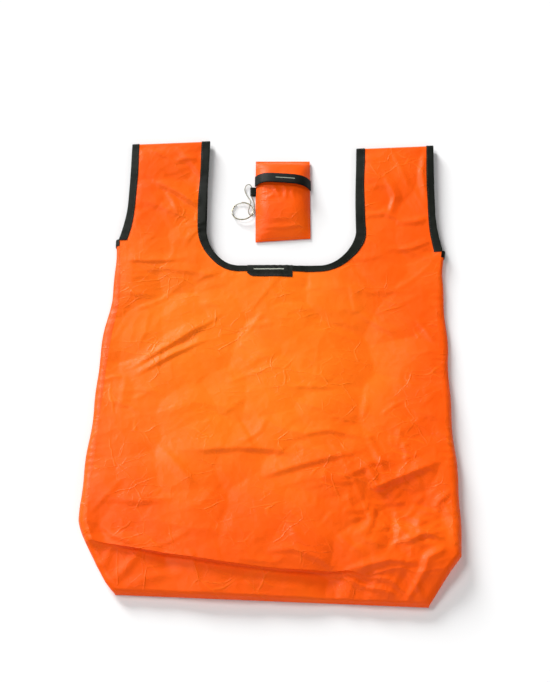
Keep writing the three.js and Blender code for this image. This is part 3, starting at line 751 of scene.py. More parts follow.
def walk(*coordinates):
    """Distance walked along a line, at each of its points."""
    steps = np.sqrt(sum(np.diff(c) ** 2 for c in coordinates))
    return np.concatenate([[0], np.cumsum(steps)])


def quads_of(index):
    return np.stack([index[:-1, :-1], index[:-1, 1:], index[1:, 1:], index[1:, :-1]], -1).reshape(-1, 4)


def unit(vectors):
    return vectors / np.maximum(np.linalg.norm(vectors, axis=-1, keepdims=True), 1e-9)


def normals_of(points, quads):
    a, b, c, d = (points[quads[:, i]] for i in range(4))
    across = np.cross(c - a, d - b)
    out = np.zeros_like(points)
    for i in range(4):
        np.add.at(out, quads[:, i], across)
    return unit(out)


def new_piece(name, verts, faces, materials, uvs=None, normals=None):
    mesh = bpy.data.meshes.new(name)
    mesh.from_pydata((verts * MM).tolist(), [], faces)
    mesh.polygons.foreach_set("use_smooth", np.ones(len(faces), bool))
    if uvs is not None:
        mesh.uv_layers.new(name="cloth").data.foreach_set("uv", uvs.astype(np.float32).ravel())
        mesh.normals_split_custom_set_from_vertices(normals.tolist())
        mesh.validate()
    mesh.update()
    for material in materials:
        mesh.materials.append(material)
    piece = bpy.data.objects.new(name, mesh)
    bpy.context.scene.collection.objects.link(piece)
    return piece


def shell(name, points, quads, uvs, thickness, material, normals=None):
    """A closed sheet of cloth from points and their uvs, which run along the cloth."""
    normals = normals_of(points, quads) if normals is None else normals
    used, quads = np.unique(quads, return_inverse=True)
    quads = quads.reshape(-1, 4)
    points, normals, uvs = points[used], normals[used], uvs[used]
    count = len(points)
    verts = np.vstack([points + normals * thickness / 2, points - normals * thickness / 2])
    edges = np.concatenate([quads[:, [i, (i + 1) % 4]] for i in range(4)])
    _, first, times = np.unique(np.sort(edges, axis=1), axis=0, return_index=True, return_counts=True)
    rim = edges[first[times == 1]]
    walls = np.stack([rim[:, 1], rim[:, 0], rim[:, 0] + count, rim[:, 1] + count], -1)
    faces = np.vstack([quads, quads[:, ::-1] + count, walls])
    corner_uvs = uvs[faces.ravel() % count] * MM
    return new_piece(name, verts, faces.tolist(), [material], corner_uvs, np.vstack([normals, -normals]))


def grid_shell(name, points, uvs, thickness, material, side=1):
    """The same, from a grid of rows and columns. Side -1 turns it over."""
    points, uvs = points[:, ::side], uvs[:, ::side]
    index = np.arange(points.shape[0] * points.shape[1]).reshape(points.shape[:2])
    return shell(name, points.reshape(-1, 3), quads_of(index), uvs.reshape(-1, 2), thickness, material)


# %% [markdown]
# The cut itself is laid out next. The body has columns from side seam to side seam. Above the
# neckline only the outer columns go on, one set over each shoulder and strap, and they meet
# again on the back. Rows crowd together at the bottom of the neckline, where its curve is flat.

# %% Lay out the cut
NECK_FLAT = NECK_HALF - NECK_CORNER[0]
neck_share = NECK_FLAT / float(seam_half(np.array(NECK_BOTTOM), 1))
MIDDLE, SHOULDER = 52, 74
columns = np.concatenate([np.linspace(-1, -neck_share, SHOULDER + 1)[:-1],
                          np.linspace(-neck_share, neck_share, MIDDLE + 1)[:-1],
                          np.linspace(neck_share, 1, SHOULDER + 1)])
picked_columns = {"left": np.arange(0, SHOULDER + 1), "right": np.arange(SHOULDER + MIDDLE, len(columns))}


def crease_line(u):
    """The crease over the base: it climbs round the left corner and a little at the right one."""
    climb = 28 * np.clip((0.1 - u) / 1.1, 0, 1) ** 1.5
    crumple = 3.5 * np.sin(u * 19) * ease((u - 0.35) / 0.2) * ease((1 - u) / 0.15)
    return CREASE_Y + 10.5 + climb + crumple + 8 * np.clip((u - 0.4) / 0.6, 0, 1) ** 2


corner_top = NECK_BOTTOM + NECK_CORNER[1]


def curve_y(angle):
    return corner_top - NECK_CORNER[1] * np.cos(angle)


def over_the_top(y):
    """From front heights y: up the front, round the roll and down the back, as distances v."""
    return np.concatenate([y, ROLL_Y + np.linspace(0, ROLL_LENGTH, 11)[1:-1], back_v(y[::-1]) + 1e-6])


split_angle = math.acos((corner_top - ARMPIT) / NECK_CORNER[1])
shoulder_y = curve_y(np.linspace(0, split_angle, 20))
curve_rest = curve_y(np.linspace(split_angle, math.pi / 2, 26))
strap_v = over_the_top(np.concatenate([curve_rest, np.linspace(corner_top, ROLL_Y, 46)[1:]]))

print("columns", len(columns), "rows over a strap", len(strap_v))

# %% [markdown]
# The cut is made of blocks of rows and columns that share their border points: the body's front,
# both shoulders and straps, and the back. Each block belongs to one of the four pieces of cloth.

# %% Blocks of the cut
all_x, all_v = [], []


def add_block(x, v):
    """Add points to the cut, and give their numbers."""
    before = sum(block.size for block in all_x)
    all_x.append(x.ravel())
    all_v.append(v.ravel())
    return before + np.arange(x.size).reshape(x.shape)


def shoulder_block(side, v):
    y = place_y(v)[:, None]
    across = np.linspace(0, 1, SHOULDER + 1)[None, :]
    x = neck_edge(y) + across * (outer_edge(y, side) - neck_edge(y))
    x = x if side > 0 else -x[:, ::-1]
    return add_block(x, np.broadcast_to(v[:, None], x.shape))


rows = np.linspace(0, 1, 206)[:, None]
body_y = mix_of(crease_line(columns)[None, :], NECK_BOTTOM, rows)
low_front = add_block(columns * seam_half(body_y, np.sign(columns)[None, :]), body_y)
groups = {"front": [quads_of(low_front)], "left": [], "right": [], "back": []}
last_rows = []
SIDES = ((-1, "left"), (1, "right"))
for side, name in SIDES:
    front_part = np.vstack([low_front[-1:, picked_columns[name]], shoulder_block(side, shoulder_y[1:])])
    strap_part = np.vstack([front_part[-1:], shoulder_block(side, strap_v[1:])])
    back_part = np.vstack([strap_part[-1:], shoulder_block(side, back_v(shoulder_y[::-1][1:]))])
    for group, block in (("front", front_part), (name, strap_part), ("back", back_part)):
        groups[group].append(quads_of(block))
    last_rows.append(back_part[-1])
back_y = np.linspace(NECK_BOTTOM, BOTTOM + 0.6, 92)[:, None] + 0 * columns[None, :]
neck_row = columns[SHOULDER + 1 : SHOULDER + MIDDLE] * seam_half(back_y[0, 0], 1)
neck_row = add_block(neck_row, np.full(neck_row.shape, back_v(NECK_BOTTOM)))
top_row = np.concatenate([last_rows[0], neck_row, last_rows[1]])
low_back = add_block(columns * seam_half(back_y[1:], np.sign(columns)[None, :]), back_v(back_y[1:]))
groups["back"].append(quads_of(np.vstack([top_row[None, :], low_back])))
cut_uv = np.stack([np.concatenate(all_x), np.concatenate(all_v)], -1)
cut_quads = {name: np.concatenate(parts) for name, parts in groups.items()}
cut_points = cloth_point(*cut_uv.T)
laid = askew(cut_points)
cut_normals = normals_of(laid, np.concatenate(list(cut_quads.values())))
print("points in the cut", len(cut_uv), "faces", {k: len(v) for k, v in cut_quads.items()})


def flat_area(quads):
    """Area of the cut before it was sewn, in square metres."""
    a, b, c, d = (cut_uv[quads[:, i]] * MM for i in range(4))
    p, q = c - a, d - b
    return float(np.abs(p[:, 0] * q[:, 1] - p[:, 1] * q[:, 0]).sum() / 2)


# %% [markdown]
# The front, the back and the two straps are now cut out of it.

# %% Front, back and straps
CLOTH = 0.3


def cut_out(name, part_name, body, *nodes):
    piece = shell(name, laid, cut_quads[part_name], cut_uv, CLOTH, nylon, cut_normals)
    attach([piece], body, "nylon", *nodes)
    return piece


front_cloth = cut_out("front_cloth", "front", "root", "front_panel")
back_cloth = cut_out("back_cloth", "back", "root", "back_panel")
for side, name in SIDES:
    nodes = (f"{name}_strap_front", f"{name}_strap_back")
    cut_out(f"{name}_strap_cloth", name, name, *nodes)
print("area of the front in square metres", round(flat_area(cut_quads["front"]), 4))

# %% [markdown]
# The base is the strip of cloth under the long crease. It drops a little under the crease, runs
# out in a nearly flat strip and turns down at the bottom edge. A steep strip would be much darker
# than the front, and it isn't. At the left corner it is gathered in a small fan of folds, and at
# the right it spreads into the crumpled corner.

# %% Base
BASE_FAN = [
    ([(-186, 38), (-160, 22), (-132, 2)], 3.0, 7, 6),
    ([(-180, 40), (-140, 30), (-100, 22)], 2.2, 7, 5),
    ([(-196, 34), (-184, 18), (-172, 2)], 2.2, 6, 6),
    ([(-60, 30), (-10, 26), (50, 30)], 1.2, 8, 5),
    ([(44, 4), (96, 16), (150, 36)], 2.6, 9, 6),
    ([(100, 2), (130, 14), (158, 34)], 2.6, 7, 6),
    ([(150, 2), (160, 16), (168, 36)], 2.4, 6, 6),
]
STRIP_END, STRIP_DROP = 0.84, 0.44
BASE_DEPTH = 46
crease_points = cut_points[low_front[0]]
s = np.concatenate([np.linspace(0, STRIP_END, 20), [0.88, 0.93, 0.97, 1.0]])[:, None]
u = columns[None, :]
sharp = (1 - 0.8 * ease((u - 0.2) / 0.4)) * (1 - 0.5 * ease((-u - 0.75) / 0.25))
stations = [0, 0.12, 0.26, STRIP_END, 0.93, 1]
even = np.clip(s / STRIP_END, 0, 1)
past_strip = part(s, STRIP_END, 1)
drop_share = np.interp(s, stations, [0, 0.16, 0.31, STRIP_DROP, 0.7, 1])
drop_share = mix_of(STRIP_DROP * even**1.4 + (1 - STRIP_DROP) * past_strip, drop_share, sharp)
run_share = np.interp(s, stations, [0, -0.07, 0.0, 0.97, 1.0, 1])
run_share = mix_of(0.97 * even + 0.03 * past_strip, run_share, sharp)
base_y = mix_of(crease_points[None, :, 1], BOTTOM + 0.5, run_share)
base_z = mix_of(crease_points[None, :, 2], 0.8, drop_share)
base_x = u * seam_half(base_y, np.sign(u))
down = BASE_DEPTH * s + 0 * u
fan = strokes(base_x, down, BASE_FAN) + facets(base_x, -300 + down, PLATES, 220) * 0.8
fan = fan * np.sin(math.pi * np.clip(s, 0, 1)) ** 0.7
base_points = np.stack([base_x, base_y - 0.5 * fan, base_z + 0.8 * fan], axis=-1)
base_points[0] = crease_points
base_points[:, :, 2] = np.maximum(base_points[:, :, 2], 0.7)
base_uv = grid_of(base_x, CREASE_Y - down)
base_cloth = grid_shell("base_cloth", askew(base_points)[::-1], base_uv[::-1], CLOTH, nylon)
attach([base_cloth], "root", "nylon", "base_panel")
print("base strip", len(base_cloth.data.polygons), "faces")

# %% [markdown]
# A gusset closes each side. It starts at the front seam, rounds outwards and comes back under
# the bag to the back seam. Its front edge takes the points of the front and of the base, so the
# cloths meet all the way from the armpit to the bottom edge. The depth of the fold is hidden, so
# it is a guess.

# %% Gussets
for side, name in SIDES:
    column = 0 if side < 0 else -1
    upper = cloth_point(side * outer_edge(shoulder_y[1:], side), shoulder_y[1:])
    edge = np.vstack([base_points[::-1, column], cut_points[low_front[1:, column]], upper])
    edge = edge[np.concatenate([[True], np.diff(edge[:, 1]) > 0.05])]
    x, y, z = edge.T[:, :, None]
    around = np.linspace(0, 1, 15)[None, :]
    under_z = cloth_point(x, back_v(y))[..., 2]
    soft_wave = 1 + 0.16 * np.sin(y / 19) * np.sin(y / 47 + 1)
    reach = bulge(y) * soft_wave * np.sin(math.pi * around)
    ripple = 0.14 * np.sin(y / 2.3 + 3 * np.sin(y / 29)) * np.exp(-around * 9)
    out_x = x + side * reach + side * ripple * np.clip(around * 8, 0, 1)
    points = grid_of(out_x, y, mix_of(z, under_z, (1 - np.cos(math.pi * around)) / 2))
    # Their uvs start beyond the side seam, so the painted pool of light stays off the gussets.
    uv = grid_of(WIDEST_HALF + around * 30, y)
    gusset = grid_shell(f"{name}_gusset_cloth", askew(points), uv, CLOTH, nylon, side)
    attach([gusset], "root", "nylon", f"{name}_gusset")
print("gussets made")

# %% [markdown]
# Binding tape is folded over every raw edge: one leg lies on top of the cloth, one under it.
# A tape follows a path along the edge of the cut, given in x and v, and its cross section is
# given by the distance in from the edge and the lift above the cloth.

# %% Tape, folded over an edge
TAPE = 0.5


def path_frame(x, v, turn):
    """Distance along a path and its unit direction into the cloth. turn is 1 for its right side."""
    dx, dv = np.gradient(x), np.gradient(v)
    size = np.hypot(dx, dv)
    return walk(x, v), turn * dv / size, -turn * dx / size


def folded_section(width):
    """Points (distance in, lift) round the folded tape, from the top leg to the under leg."""
    top = [(width, 0.42), (width - 0.5, 0.5), (width * 0.7, 0.52), (width * 0.35, 0.55), (0.1, 0.52)]
    bend = [(-0.32, 0.38), (-0.48, 0.0), (-0.32, -0.38)]
    under = [(0.1, -0.5), (width * 0.35, -0.5), (width * 0.7, -0.48), (width - 1.2, -0.42)]
    return np.array(top + bend + under)


def edge_tape(name, x, v, turn, widths):
    along, into_x, into_v = path_frame(x, v, turn)
    sections = np.stack([folded_section(w) for w in widths])
    px = x[:, None] + into_x[:, None] * sections[:, :, 0]
    pv = v[:, None] + into_v[:, None] * sections[:, :, 0]
    uv = grid_of(along[:, None], walk(*sections[0].T)[None, :])
    return grid_shell(name, askew(cloth_point(px, pv, sections[:, :, 1])), uv, TAPE, tape, turn)


print("tape section has", len(folded_section(10.0)), "points")

# %% [markdown]
# Lockstitches show as a row of short threads that dip into the cloth at both ends. Each is a thin
# six-sided tube here, so they are real shapes and catch the light one by one.

# %% Stitches
STITCH, STITCH_GAP, STITCH_INSET, STITCH_LIFT = 2.3, 0.9, 1.5, 0.9


def threads(name, line, up, material, radius):
    """Six-sided threads along short lines: line and up are (stitch, station, xyz)."""
    count, stations = line.shape[:2]
    along = unit(np.gradient(line, axis=1))
    side = unit(np.cross(up, along))
    up = np.cross(along, side)
    turns = np.arange(6)[:, None] * math.pi / 3
    ring = side[:, :, None, :] * np.cos(turns) + up[:, :, None, :] * np.sin(turns)
    verts = (line[:, :, None, :] + ring * radius).reshape(-1, 3)
    one = np.arange(stations * 6).reshape(stations, 6)
    around = np.roll(one, -1, axis=1)
    walls = np.stack([one[:-1], around[:-1], around[1:], one[1:]], -1).reshape(-1, 4)
    faces = []
    for first in np.arange(count) * stations * 6:
        faces += (walls[:, ::-1] + first).tolist()
        faces += [(one[0] + first).tolist(), (one[-1][::-1] + first).tolist()]
    return new_piece(name, verts, faces, [material])


def stitch_row(name, x, v, turn, inset, lift=STITCH_LIFT, material=thread):
    """A row of lockstitches: each is a short thread that dips into the cloth at both ends."""
    along, into_x, into_v = path_frame(x, v, turn)
    starts = np.arange(1.0, along[-1] - STITCH - 0.5, STITCH + STITCH_GAP)
    at = starts[:, None] + np.array([0, 0.22, 0.78, 1.0])[None, :] * STITCH
    inset = np.interp(at, along, inset + 0 * along)
    sx = np.interp(at, along, x) + np.interp(at, along, into_x) * inset
    sv = np.interp(at, along, v) + np.interp(at, along, into_v) * inset
    rise = lift + np.array([-0.3, 0.0, 0.0, -0.3])[None, :]
    line = askew(cloth_point(sx, sv, rise))
    return threads(name, line, askew(cloth_point(sx, sv, rise + 1)) - line, material, 0.2)


def bind_edge(name, x, v, turn, widths, body, node):
    """Tape and its row of stitches along one edge."""
    binding = edge_tape(f"{name}_binding", x, v, turn, widths)
    row = stitch_row(f"{name}_stitches", x, v, turn, widths - STITCH_INSET)
    attach([binding, row], body, "binding_tape", node)
    return binding


print("a stitch every", STITCH + STITCH_GAP, "mm")

# %% [markdown]
# The neck tape runs down from one strap, round the neckline and up to the other strap. It is
# 10 mm wide on the straps and pulls in to about 8 mm round the curve. The front one and the back
# one stop at the fold line, where the strap's own tape goes on over the top of the strap.

# %% Neck tapes
bottom_x = np.linspace(-NECK_FLAT, NECK_FLAT, 42)
neck_x = np.concatenate([-neck_edge(shoulder_y[:0:-1]), bottom_x, neck_edge(shoulder_y[1:])])
neck_v = np.concatenate([shoulder_y[:0:-1], np.full(42, NECK_BOTTOM), shoulder_y[1:]])
walked = walk(neck_x, neck_v)
stations = np.linspace(0, walked[-1], 90)
neck_x, neck_v = np.interp(stations, walked, neck_x), np.interp(stations, walked, neck_v)


def neck_width(x, y):
    """The tape lies a little wider round the right of the neck, where it isn't pulled in."""
    slack = 2.2 * ease(x / 60) * np.exp(-(((y - 172) / 30) ** 2))
    return 8.0 + 2.0 * ease((y - NECK_BOTTOM - 4) / 50) + slack


widths = neck_width(neck_x, neck_v)
front_neck = bind_edge("front_neck", neck_x, neck_v, 1, widths, "root", "front_neck_tape")
back_neck = bind_edge("back_neck", neck_x, back_v(neck_v), -1, widths, "root", "back_neck_tape")

tape_v = over_the_top(np.concatenate([curve_rest, np.linspace(corner_top, ROLL_Y, 42)[1:]]))
y = place_y(tape_v)
above_armpit = ease((y - ARMPIT) / 30)
for side, name in SIDES:
    inner_x = side * (neck_edge(y) + 0.5 * np.sin(tape_v / 24 + side) * above_armpit)
    widths = neck_width(inner_x, y) + 0.3 * np.sin(tape_v / 11) * ease((y - ARMPIT) / 10)
    bind_edge(f"{name}_strap_neck", inner_x, tape_v, side, widths, name, f"{name}_strap_neck_tape")
    outer_x = side * (armhole_edge(y) + 0.4 * np.sin(tape_v / 29 + 2) * above_armpit)
    widths = 8.6 + 0.9 * ease((215 - y) / 40) + 0.3 * np.sin(tape_v / 13)
    bind_edge(f"{name}_armhole", outer_x, tape_v, -side, widths, name, f"{name}_armhole_tape")
print("neck and armhole bindings made")

# %% [markdown]
# The armhole tape goes on under the arm over the top edge of the gusset, from the front to the
# back. It is the small dark stub that shows below the armhole at the side of the bag.

# %% Tape over the gusset tops
for side, name in SIDES:
    around = np.linspace(-0.02, 1.02, 17)
    top_x, _, top_z = cloth_point(side * float(outer_edge(np.array(ARMPIT), side)), ARMPIT)
    inward, lift = folded_section(9.0).T[:, None, :]
    centre_x = abs(top_x) + bulge(ARMPIT) * np.sin(math.pi * np.clip(around, 0, 1))
    centre_z = mix_of(top_z, BACK_LEVEL, (1 - np.cos(math.pi * around)) / 2)
    dx, dz = np.gradient(centre_x), np.gradient(centre_z)
    size = np.hypot(dx, dz)
    out_x = centre_x[:, None] - (dz / size)[:, None] * lift
    out_z = centre_z[:, None] + (dx / size)[:, None] * lift
    points = askew(grid_of(side * out_x, ARMPIT + 0.9 - inward, out_z))
    uv = grid_of(around[:, None] * 13, inward)
    stub = grid_shell(f"{name}_gusset_binding", points, uv, TAPE, tape, side)
    attach([stub], "root", "binding_tape", f"{name}_gusset_tape")
print("gusset tops bound")

# %% [markdown]
# Inside each strap's roll lies the seam that joins the front strap to the back one. Its
# allowance is a short tongue of cloth under the fold, held by a row of orange stitches.

# %% Shoulder seams
for side, name in SIDES:
    low, high = box_mm(f"{name}_shoulder_seam")
    seam_x = np.linspace(low[0], high[0], 24)[None, :]
    seam_v = ROLL_Y + ROLL_RADIUS * np.radians(np.linspace(28, 152, 12))[:, None]
    points = askew(cloth_point(seam_x, seam_v, -1.0 + 0.1 * np.sin(seam_x / 4)))
    tongue = grid_shell(f"{name}_shoulder_allowance", points, grid_of(seam_x, seam_v), 0.4, nylon)
    line_x, line_v = np.linspace(low[0] + 1, high[0] - 1, 40), np.full(40, ROLL_Y + ROLL_LENGTH + 1.5)
    row = stitch_row(f"{name}_shoulder_stitches", line_x, line_v, 1, 0.0, 0.3, orange_thread)
    attach([tongue, row], f"{name}_strap", "nylon", f"{name}_shoulder_seam")
print("shoulder seams made")

# %% [markdown]
# The label is a strip of woven cloth folded over the neck tape and sewn down. Its top follows
# the tape, steps down at the tape's lower edge and ends on the cloth. Its lower left corner is
# cut off at a slant.

# %% Label
label_low, label_high = box_mm("neck_label")
label_x = np.linspace(label_low[0], label_high[0], 34)[:, None]
label_section = np.array([(9, -1.0), (6, -1.05), (3, -1.08), (0.4, -1.05), (-0.7, -0.8), (-1.1, 0.0),
                          (-0.7, 0.85), (0.4, 1.14), (2, 1.18), (4, 1.18), (6, 1.16), (8.2, 1.12),
                          (9.3, 0.85), (10.5, 0.5), (12, 0.45), (13.6, 0.45), (15.4, 0.46)])
inward, lift = label_section.T[:, None, :]
lower = np.clip((inward - 6) / 9.4, 0, 1)
slant = 4.6 * np.clip((label_low[0] + 6 - label_x) / 6, 0, 1)
reach = inward - slant * lower + np.where(lift > 0.4, 0.022 * (label_x - label_x[0]), 0) * lower
label_points = askew(cloth_point(label_x + 0 * reach, NECK_BOTTOM - reach, lift + 0 * reach))
label_uv = grid_of(label_x - label_x[0], reach)
label = grid_shell("woven_neck_label", label_points, label_uv, 0.45, label_cloth)
line_x = np.linspace(label_low[0] + 1.2, label_high[0] - 1.0, 30)
label_row = stitch_row("label_stitches", line_x, np.full(30, NECK_BOTTOM), 1, 14.0, 0.72)
attach([label, label_row], "root", "woven_label", "neck_label")
print("label made")

# %% [markdown]
# The pouch is where the bag goes when it is folded up. Its back is flat, its front is plump
# because a second folded bag is drawn inside it, thinner towards its foot, and its flap hangs
# over the mouth, with a wide tape along the free edge. Its cloth comes from another place on the
# roll than the bag's, so its pattern is taken from elsewhere too.

# %% Pouch shape
POUCH_HALF_W, POUCH_HALF_L, POUCH_RISE = 34.0, 57.5, 10.8
PLUMP_ACROSS, PLUMP_ALONG = 4.2, 9
FLAP_HALF, FLAP_REACH, FLAP_SLANT, FLAP_GAPE = 34.1, 39.0, 3.1, 3.2
MOUTH_Y = 44.0
# This offset also keeps the pouch outside the painted pool of light in the middle of the front.
POUCH_CUT = 240.0
POUCH_CREASES = [
    ([(-14, 20), (-9, 10), (-4, 0)], 1.5, 5, 4), ([(0, 20), (4, 9), (3, -4)], 1.6, 4, 4),
    ([(16, 18), (11, 8), (14, -4)], 1.3, 4, 4), ([(-24, -3), (-12, 3), (-2, 0)], 0.8, 5, 4),
    ([(-26, 20), (-24, 8)], 0.6, 4, 3), ([(24, 20), (25, 6)], 0.6, 4, 3),
    ([(-31, -41), (0, -43), (31, -40)], 1.3, 7, 4), ([(-24, -14), (0, -8), (20, -16)], 0.5, 10, 7),
    ([(-28, -50), (-12, -46)], 0.7, 4, 3), ([(30, -52), (14, -46)], 0.7, 4, 3),
    ([(-20, -24), (-8, -32), (8, -30)], 0.4, 7, 5),
]


def pouch_place(points):
    """From the pouch's own middle to its place beside the straps. Its foot hangs a little askew."""
    x, y, z = np.moveaxis(points, -1, 0)
    lower = np.clip((20 - y) / 77, 0, 1)
    return np.stack([x + POUCH_X, y + POUCH_Y + 2.6 * x / 34 * lower, z], axis=-1)


def plump(x, y):
    """How far the filled pouch rises, from 0 at its seams to 1. It thins out towards its foot."""
    w = np.clip(1 - np.abs(x / POUCH_HALF_W) ** PLUMP_ACROSS, 0, 1)
    h = np.clip(1 - np.abs(y / POUCH_HALF_L) ** PLUMP_ALONG, 0, 1)
    return w * h * mix_of(0.4, 1.0, ease((y + POUCH_HALF_L) / 44))


def pouch_point(x, y, lift=0.0, relief=1.0):
    x, y = np.broadcast_arrays(x, y)
    rise = plump(x, y)
    creased = 0.35 * np.sin(x / 9 + y / 17) * np.sin(y / 12 - x / 23 + 1) + strokes(x, y, POUCH_CREASES)
    return grid_of(x, y, 1.8 + POUCH_RISE * rise + relief * creased * rise**0.5 + lift)


print("pouch is", 2 * POUCH_HALF_W, "by", 2 * POUCH_HALF_L, "mm")

# %% [markdown]
# The front wall is laid over that plump shape and ends at the mouth. The back wall lies on the
# table. A row of orange stitches runs round the seam and another along the mouth's hem.

# %% Pouch walls
px = np.sin(np.linspace(-1, 1, 52) * math.pi / 2)[None, :] * POUCH_HALF_W
py = np.concatenate([-POUCH_HALF_L + np.array([0, 0.7, 1.6]), np.linspace(-54.5, MOUTH_Y, 72)])[:, None]
front_points, front_uv = pouch_place(pouch_point(px, py)), grid_of(px + POUCH_CUT, py)
pouch_front = grid_shell("pouch_front_cloth", front_points, front_uv, CLOTH, nylon)
by = np.linspace(-POUCH_HALF_L, POUCH_HALF_L, 40)[:, None]
bz = 0.75 - 0.35 * np.clip(1 - np.abs(by / 57.5) ** 6, 0, 1) * np.clip(1 - np.abs(px / 34) ** 6, 0, 1)
back_points, back_uv = pouch_place(grid_of(px, by, bz)), grid_of(px + POUCH_CUT, by)
pouch_back = grid_shell("pouch_back_cloth", back_points[::-1], back_uv[::-1], CLOTH, nylon)


def pouch_stitches(name, x, y):
    """A row of stitches on the pouch along a path of x and y."""
    along = walk(x, y)
    starts = np.arange(0.5, along[-1] - 2.6, 3.1)
    at = starts[:, None] + np.array([0, 0.25, 0.75, 1.0])[None, :] * 2.2
    line = pouch_point(np.interp(at, along, x), np.interp(at, along, y), 0.3)
    line[:, [0, 3], 2] -= 0.3
    up = np.zeros_like(line)
    up[:, :, 2] = 1
    return threads(name, pouch_place(line), up, orange_thread, 0.17)


seam_x = np.concatenate([np.full(30, -31.6), np.linspace(-31.6, 31.6, 24)[1:-1], np.full(30, 31.6)])
seam_y = np.concatenate([np.linspace(42, -55, 30), np.full(22, -55.0), np.linspace(-55, 42, 30)])
seam_row = pouch_stitches("pouch_seam_stitches", seam_x, seam_y)
mouth_row = pouch_stitches("pouch_mouth_stitches", np.linspace(-31, 31, 30), np.full(30, MOUTH_Y - 3))
attach([pouch_front, seam_row, mouth_row], "pouch", "nylon", "pouch_front")
attach([pouch_back], "pouch", "nylon", "pouch_back")
print("pouch body made")

# %% [markdown]
# The folded bag inside is one long strip of cloth laid to and fro, layer on layer. Only its
# front folds show, in the mouth of the pouch, when the flap is open.

# %% Folded bag
LAYERS, BUNDLE_HALF_L, BUNDLE_HALF_W, BUNDLE_FILLS = 6, 46.0, 27.4, 0.84
path_y, path_k = [], []
for k in range(LAYERS):
    ahead = np.linspace(-1, 1, 15) * (-1) ** k
    span = BUNDLE_HALF_L - 0.9 * (k % 3)
    path_y += list(ahead * span)
    path_k += [k] * len(ahead)
    if k < LAYERS - 1:
        turn = np.radians([30, 70, 110, 150])
        path_y += list(ahead[-1] * (span + 0.75 * np.sin(turn)))
        path_k += list(k + (1 - np.cos(turn)) / 2)
path_y, path_k = np.array(path_y)[:, None], np.array(path_k)[:, None]
fx = np.linspace(-1, 1, 26)[None, :] * BUNDLE_HALF_W
full = POUCH_RISE * plump(fx, path_y)
fz = 1.5 + (path_k + 0.5) / LAYERS * (BUNDLE_FILLS * full) + 0.12 * np.sin(fx / 3.1 + path_k * 2)
bundle_points = pouch_place(grid_of(fx + 0.5 * np.sin(path_k * 2.4), path_y, fz))
walked = np.concatenate([[0], np.cumsum(np.abs(np.diff(path_y[:, 0])) + 0.8)])[:, None]
bundle = grid_shell("folded_bag_layers", bundle_points, grid_of(fx, walked), 0.6, nylon)
attach([bundle], "pouch", "nylon", "folded_bag")

# %% [markdown]
# The flap is sewn to the back of the pouch, bends over its top and lies on the front. Its cloth
# stays fixed where it lies; the band along its free edge rides on the flap hinge.

# %% Flap and its tape
def flap_edge(x):
    return POUCH_HALF_L - FLAP_REACH - FLAP_SLANT * x / FLAP_HALF


def flap_point(x, y, lift=0.0):
    point = pouch_point(x * 0.97, y, 2.0 + lift, 0.35)
    gape = FLAP_GAPE * np.clip(1 - (x / FLAP_HALF) ** 6, 0, 1) * ease((POUCH_HALF_L - 12 - y) / 28)
    point[..., 0] = x + 0 * y
    point[..., 2] += gape - 0.4 * np.clip(np.abs(x / FLAP_HALF), 0, 1) ** 8
    return point


flap_x = np.linspace(-1, 1, 46)[None, :] * FLAP_HALF
over = np.array([(54.5, 0.14), (57.4, 0.2), (59.0, 0.5), (60.1, 1.4), (60.3, 2.7), (59.5, 3.7)])
over_y, over_z = over.T[:, :, None]
flap_y = mix_of(57.6, flap_edge(flap_x), np.linspace(0, 1, 34)[:, None])
flap_points = np.vstack([grid_of(flap_x, over_y, over_z), flap_point(flap_x, flap_y)])
walked = walk(*flap_points[:, 23].T)[:, None]
flap_points, flap_uv = pouch_place(flap_points), grid_of(flap_x + POUCH_CUT, walked)
flap = grid_shell("pouch_flap_cloth", flap_points, flap_uv, CLOTH, nylon, -1)
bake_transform(flap)
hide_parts("pouch_flap")

band_section = np.array([(14.2, 0.42), (13.6, 0.55), (11, 0.58), (8, 0.6), (5, 0.6), (2, 0.6), (0.2, 0.55),
                         (-0.35, 0.38), (-0.5, 0.0), (-0.35, -0.38), (0.2, -0.5), (4, -0.5), (8, -0.48)])
inward, lift = band_section.T[:, None, :]
band_x = np.linspace(-1, 1, 48)[:, None] * (FLAP_HALF + 0.9)
band_y = flap_edge(np.clip(band_x, -FLAP_HALF, FLAP_HALF)) + inward
band_points = pouch_place(flap_point(band_x, band_y, lift))
band_cloth = striped("woven_polyester_band", 7.0, 0.5, -9, 15, "#080D07", "#A9AD9E")
band = grid_shell("flap_band", band_points, grid_of(band_x, inward + 0 * band_x), 0.5, band_cloth)
attach([band], "pouch_flap", "binding_tape", "flap_tape")
print("flap made")

# %% [markdown]
# The webbing tab is a short loop of tape sewn into the pouch's side seam. The cord runs through
# its eye.

# %% Tab
tab_angles = np.radians(np.linspace(78, 282, 15))
tab_arc = np.stack([EYE_X + 1.3 * np.cos(tab_angles), EYE_Z + 1.3 * np.sin(tab_angles)], -1)
tab_line = np.vstack([[(-33.4, 2.5), (-35.4, 2.75), (-37.4, 3.02)], tab_arc,
                      [(-37.4, 0.58), (-35.4, 0.7), (-33.4, 1.0)]])
tab_x, tab_z = tab_line.T[:, None, :]
tab_y = np.linspace(TAB_Y - 6, TAB_Y + 6, 14)[:, None]
tab_points = grid_of(tab_x + POUCH_X, tab_y + POUCH_Y, tab_z)
tab_uv = grid_of(walk(*tab_line.T)[None, :], tab_y)
tab = grid_shell("webbing_tab", tab_points, tab_uv, 0.55, tape, -1)
attach([tab], "key_ring", "binding_tape", "side_tab")
print("tab made")

# %% [markdown]
# A split ring is one steel wire wound almost twice round, so that its two turns press together.
# By hand it is a small rounded section turned round an axis by a Screw modifier, a little less
# than two turns, with one wire height gained per turn. Its place and tilt are measured on the
# model's ring: the flattest direction of its points is the ring's axis.

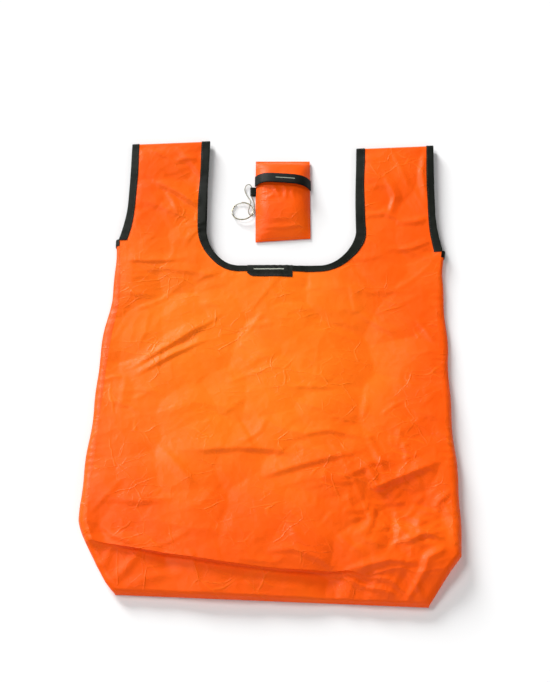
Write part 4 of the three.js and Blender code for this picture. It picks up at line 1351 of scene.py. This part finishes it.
# %% Split ring
ring_verts = np.array([v.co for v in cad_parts["split_ring"].data.vertices])
ring_centre = (ring_verts.min(0) + ring_verts.max(0)) / 2
_, _, directions = np.linalg.svd(ring_verts - ring_centre, full_matrices=False)
axis = Vector(directions[2]) * (1 if directions[2][2] > 0 else -1)
WIRE_WIDE, WIRE_HIGH, RING_OUTER = 0.95 * MM, 0.8 * MM, 13.75 * MM
TURN_DEGREES, TURN_RISE = 690, 0.86 * MM
bpy.ops.object.select_all(action="DESELECT")
bpy.ops.mesh.primitive_circle_add(vertices=10, radius=0.5, fill_type="NOTHING",
                                  rotation=(math.radians(90), 0, 0))
ring = bpy.context.object
ring.name = "split_ring_wire"
bpy.ops.object.transform_apply(location=True, rotation=True, scale=True)
for vertex in ring.data.vertices:
    corner = np.sign([vertex.co.x, vertex.co.z]) * np.abs([vertex.co.x * 2, vertex.co.z * 2]) ** 0.7 / 2
    vertex.co = (RING_OUTER - WIRE_WIDE / 2 + corner[0] * WIRE_WIDE, 0, corner[1] * WIRE_HIGH)
screw = ring.modifiers.new("two_turns", "SCREW")
screw.axis = "Z"
screw.angle = math.radians(TURN_DEGREES)
screw_height = TURN_RISE * TURN_DEGREES / 360
screw.screw_offset = screw_height
screw.steps = 180
screw.render_steps = 180
screw.use_smooth_shade = True
bpy.ops.object.modifier_apply(modifier=screw.name)
bpy.ops.object.mode_set(mode="EDIT")
bpy.ops.mesh.select_all(action="SELECT")
bpy.ops.mesh.fill_holes(sides=0)
bpy.ops.mesh.normals_make_consistent(inside=False)
bpy.ops.object.mode_set(mode="OBJECT")
half_height = screw_height / 2
turned = Vector((0, 0, 1)).rotation_difference(axis).to_matrix().to_4x4()
at = Matrix.Translation(Vector(ring_centre)) @ turned @ Matrix.Rotation(2.2, 4, "Z")
ring.data.transform(at @ Matrix.Translation((0, 0, -half_height)))
ring.data.materials.append(steel)
attach([ring], "key_ring", "steel", "split_ring")
print("ring centre in mm", [round(c / MM, 1) for c in ring_centre], "axis", [round(c, 2) for c in axis])

# %% [markdown]
# Last, the size of the finished looks is printed, to set beside the size of the model printed
# at the start.

# %% Print the size of the looks
low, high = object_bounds()
print("looks in mm", [round((b - a) / MM, 1) for a, b in zip(low, high)])
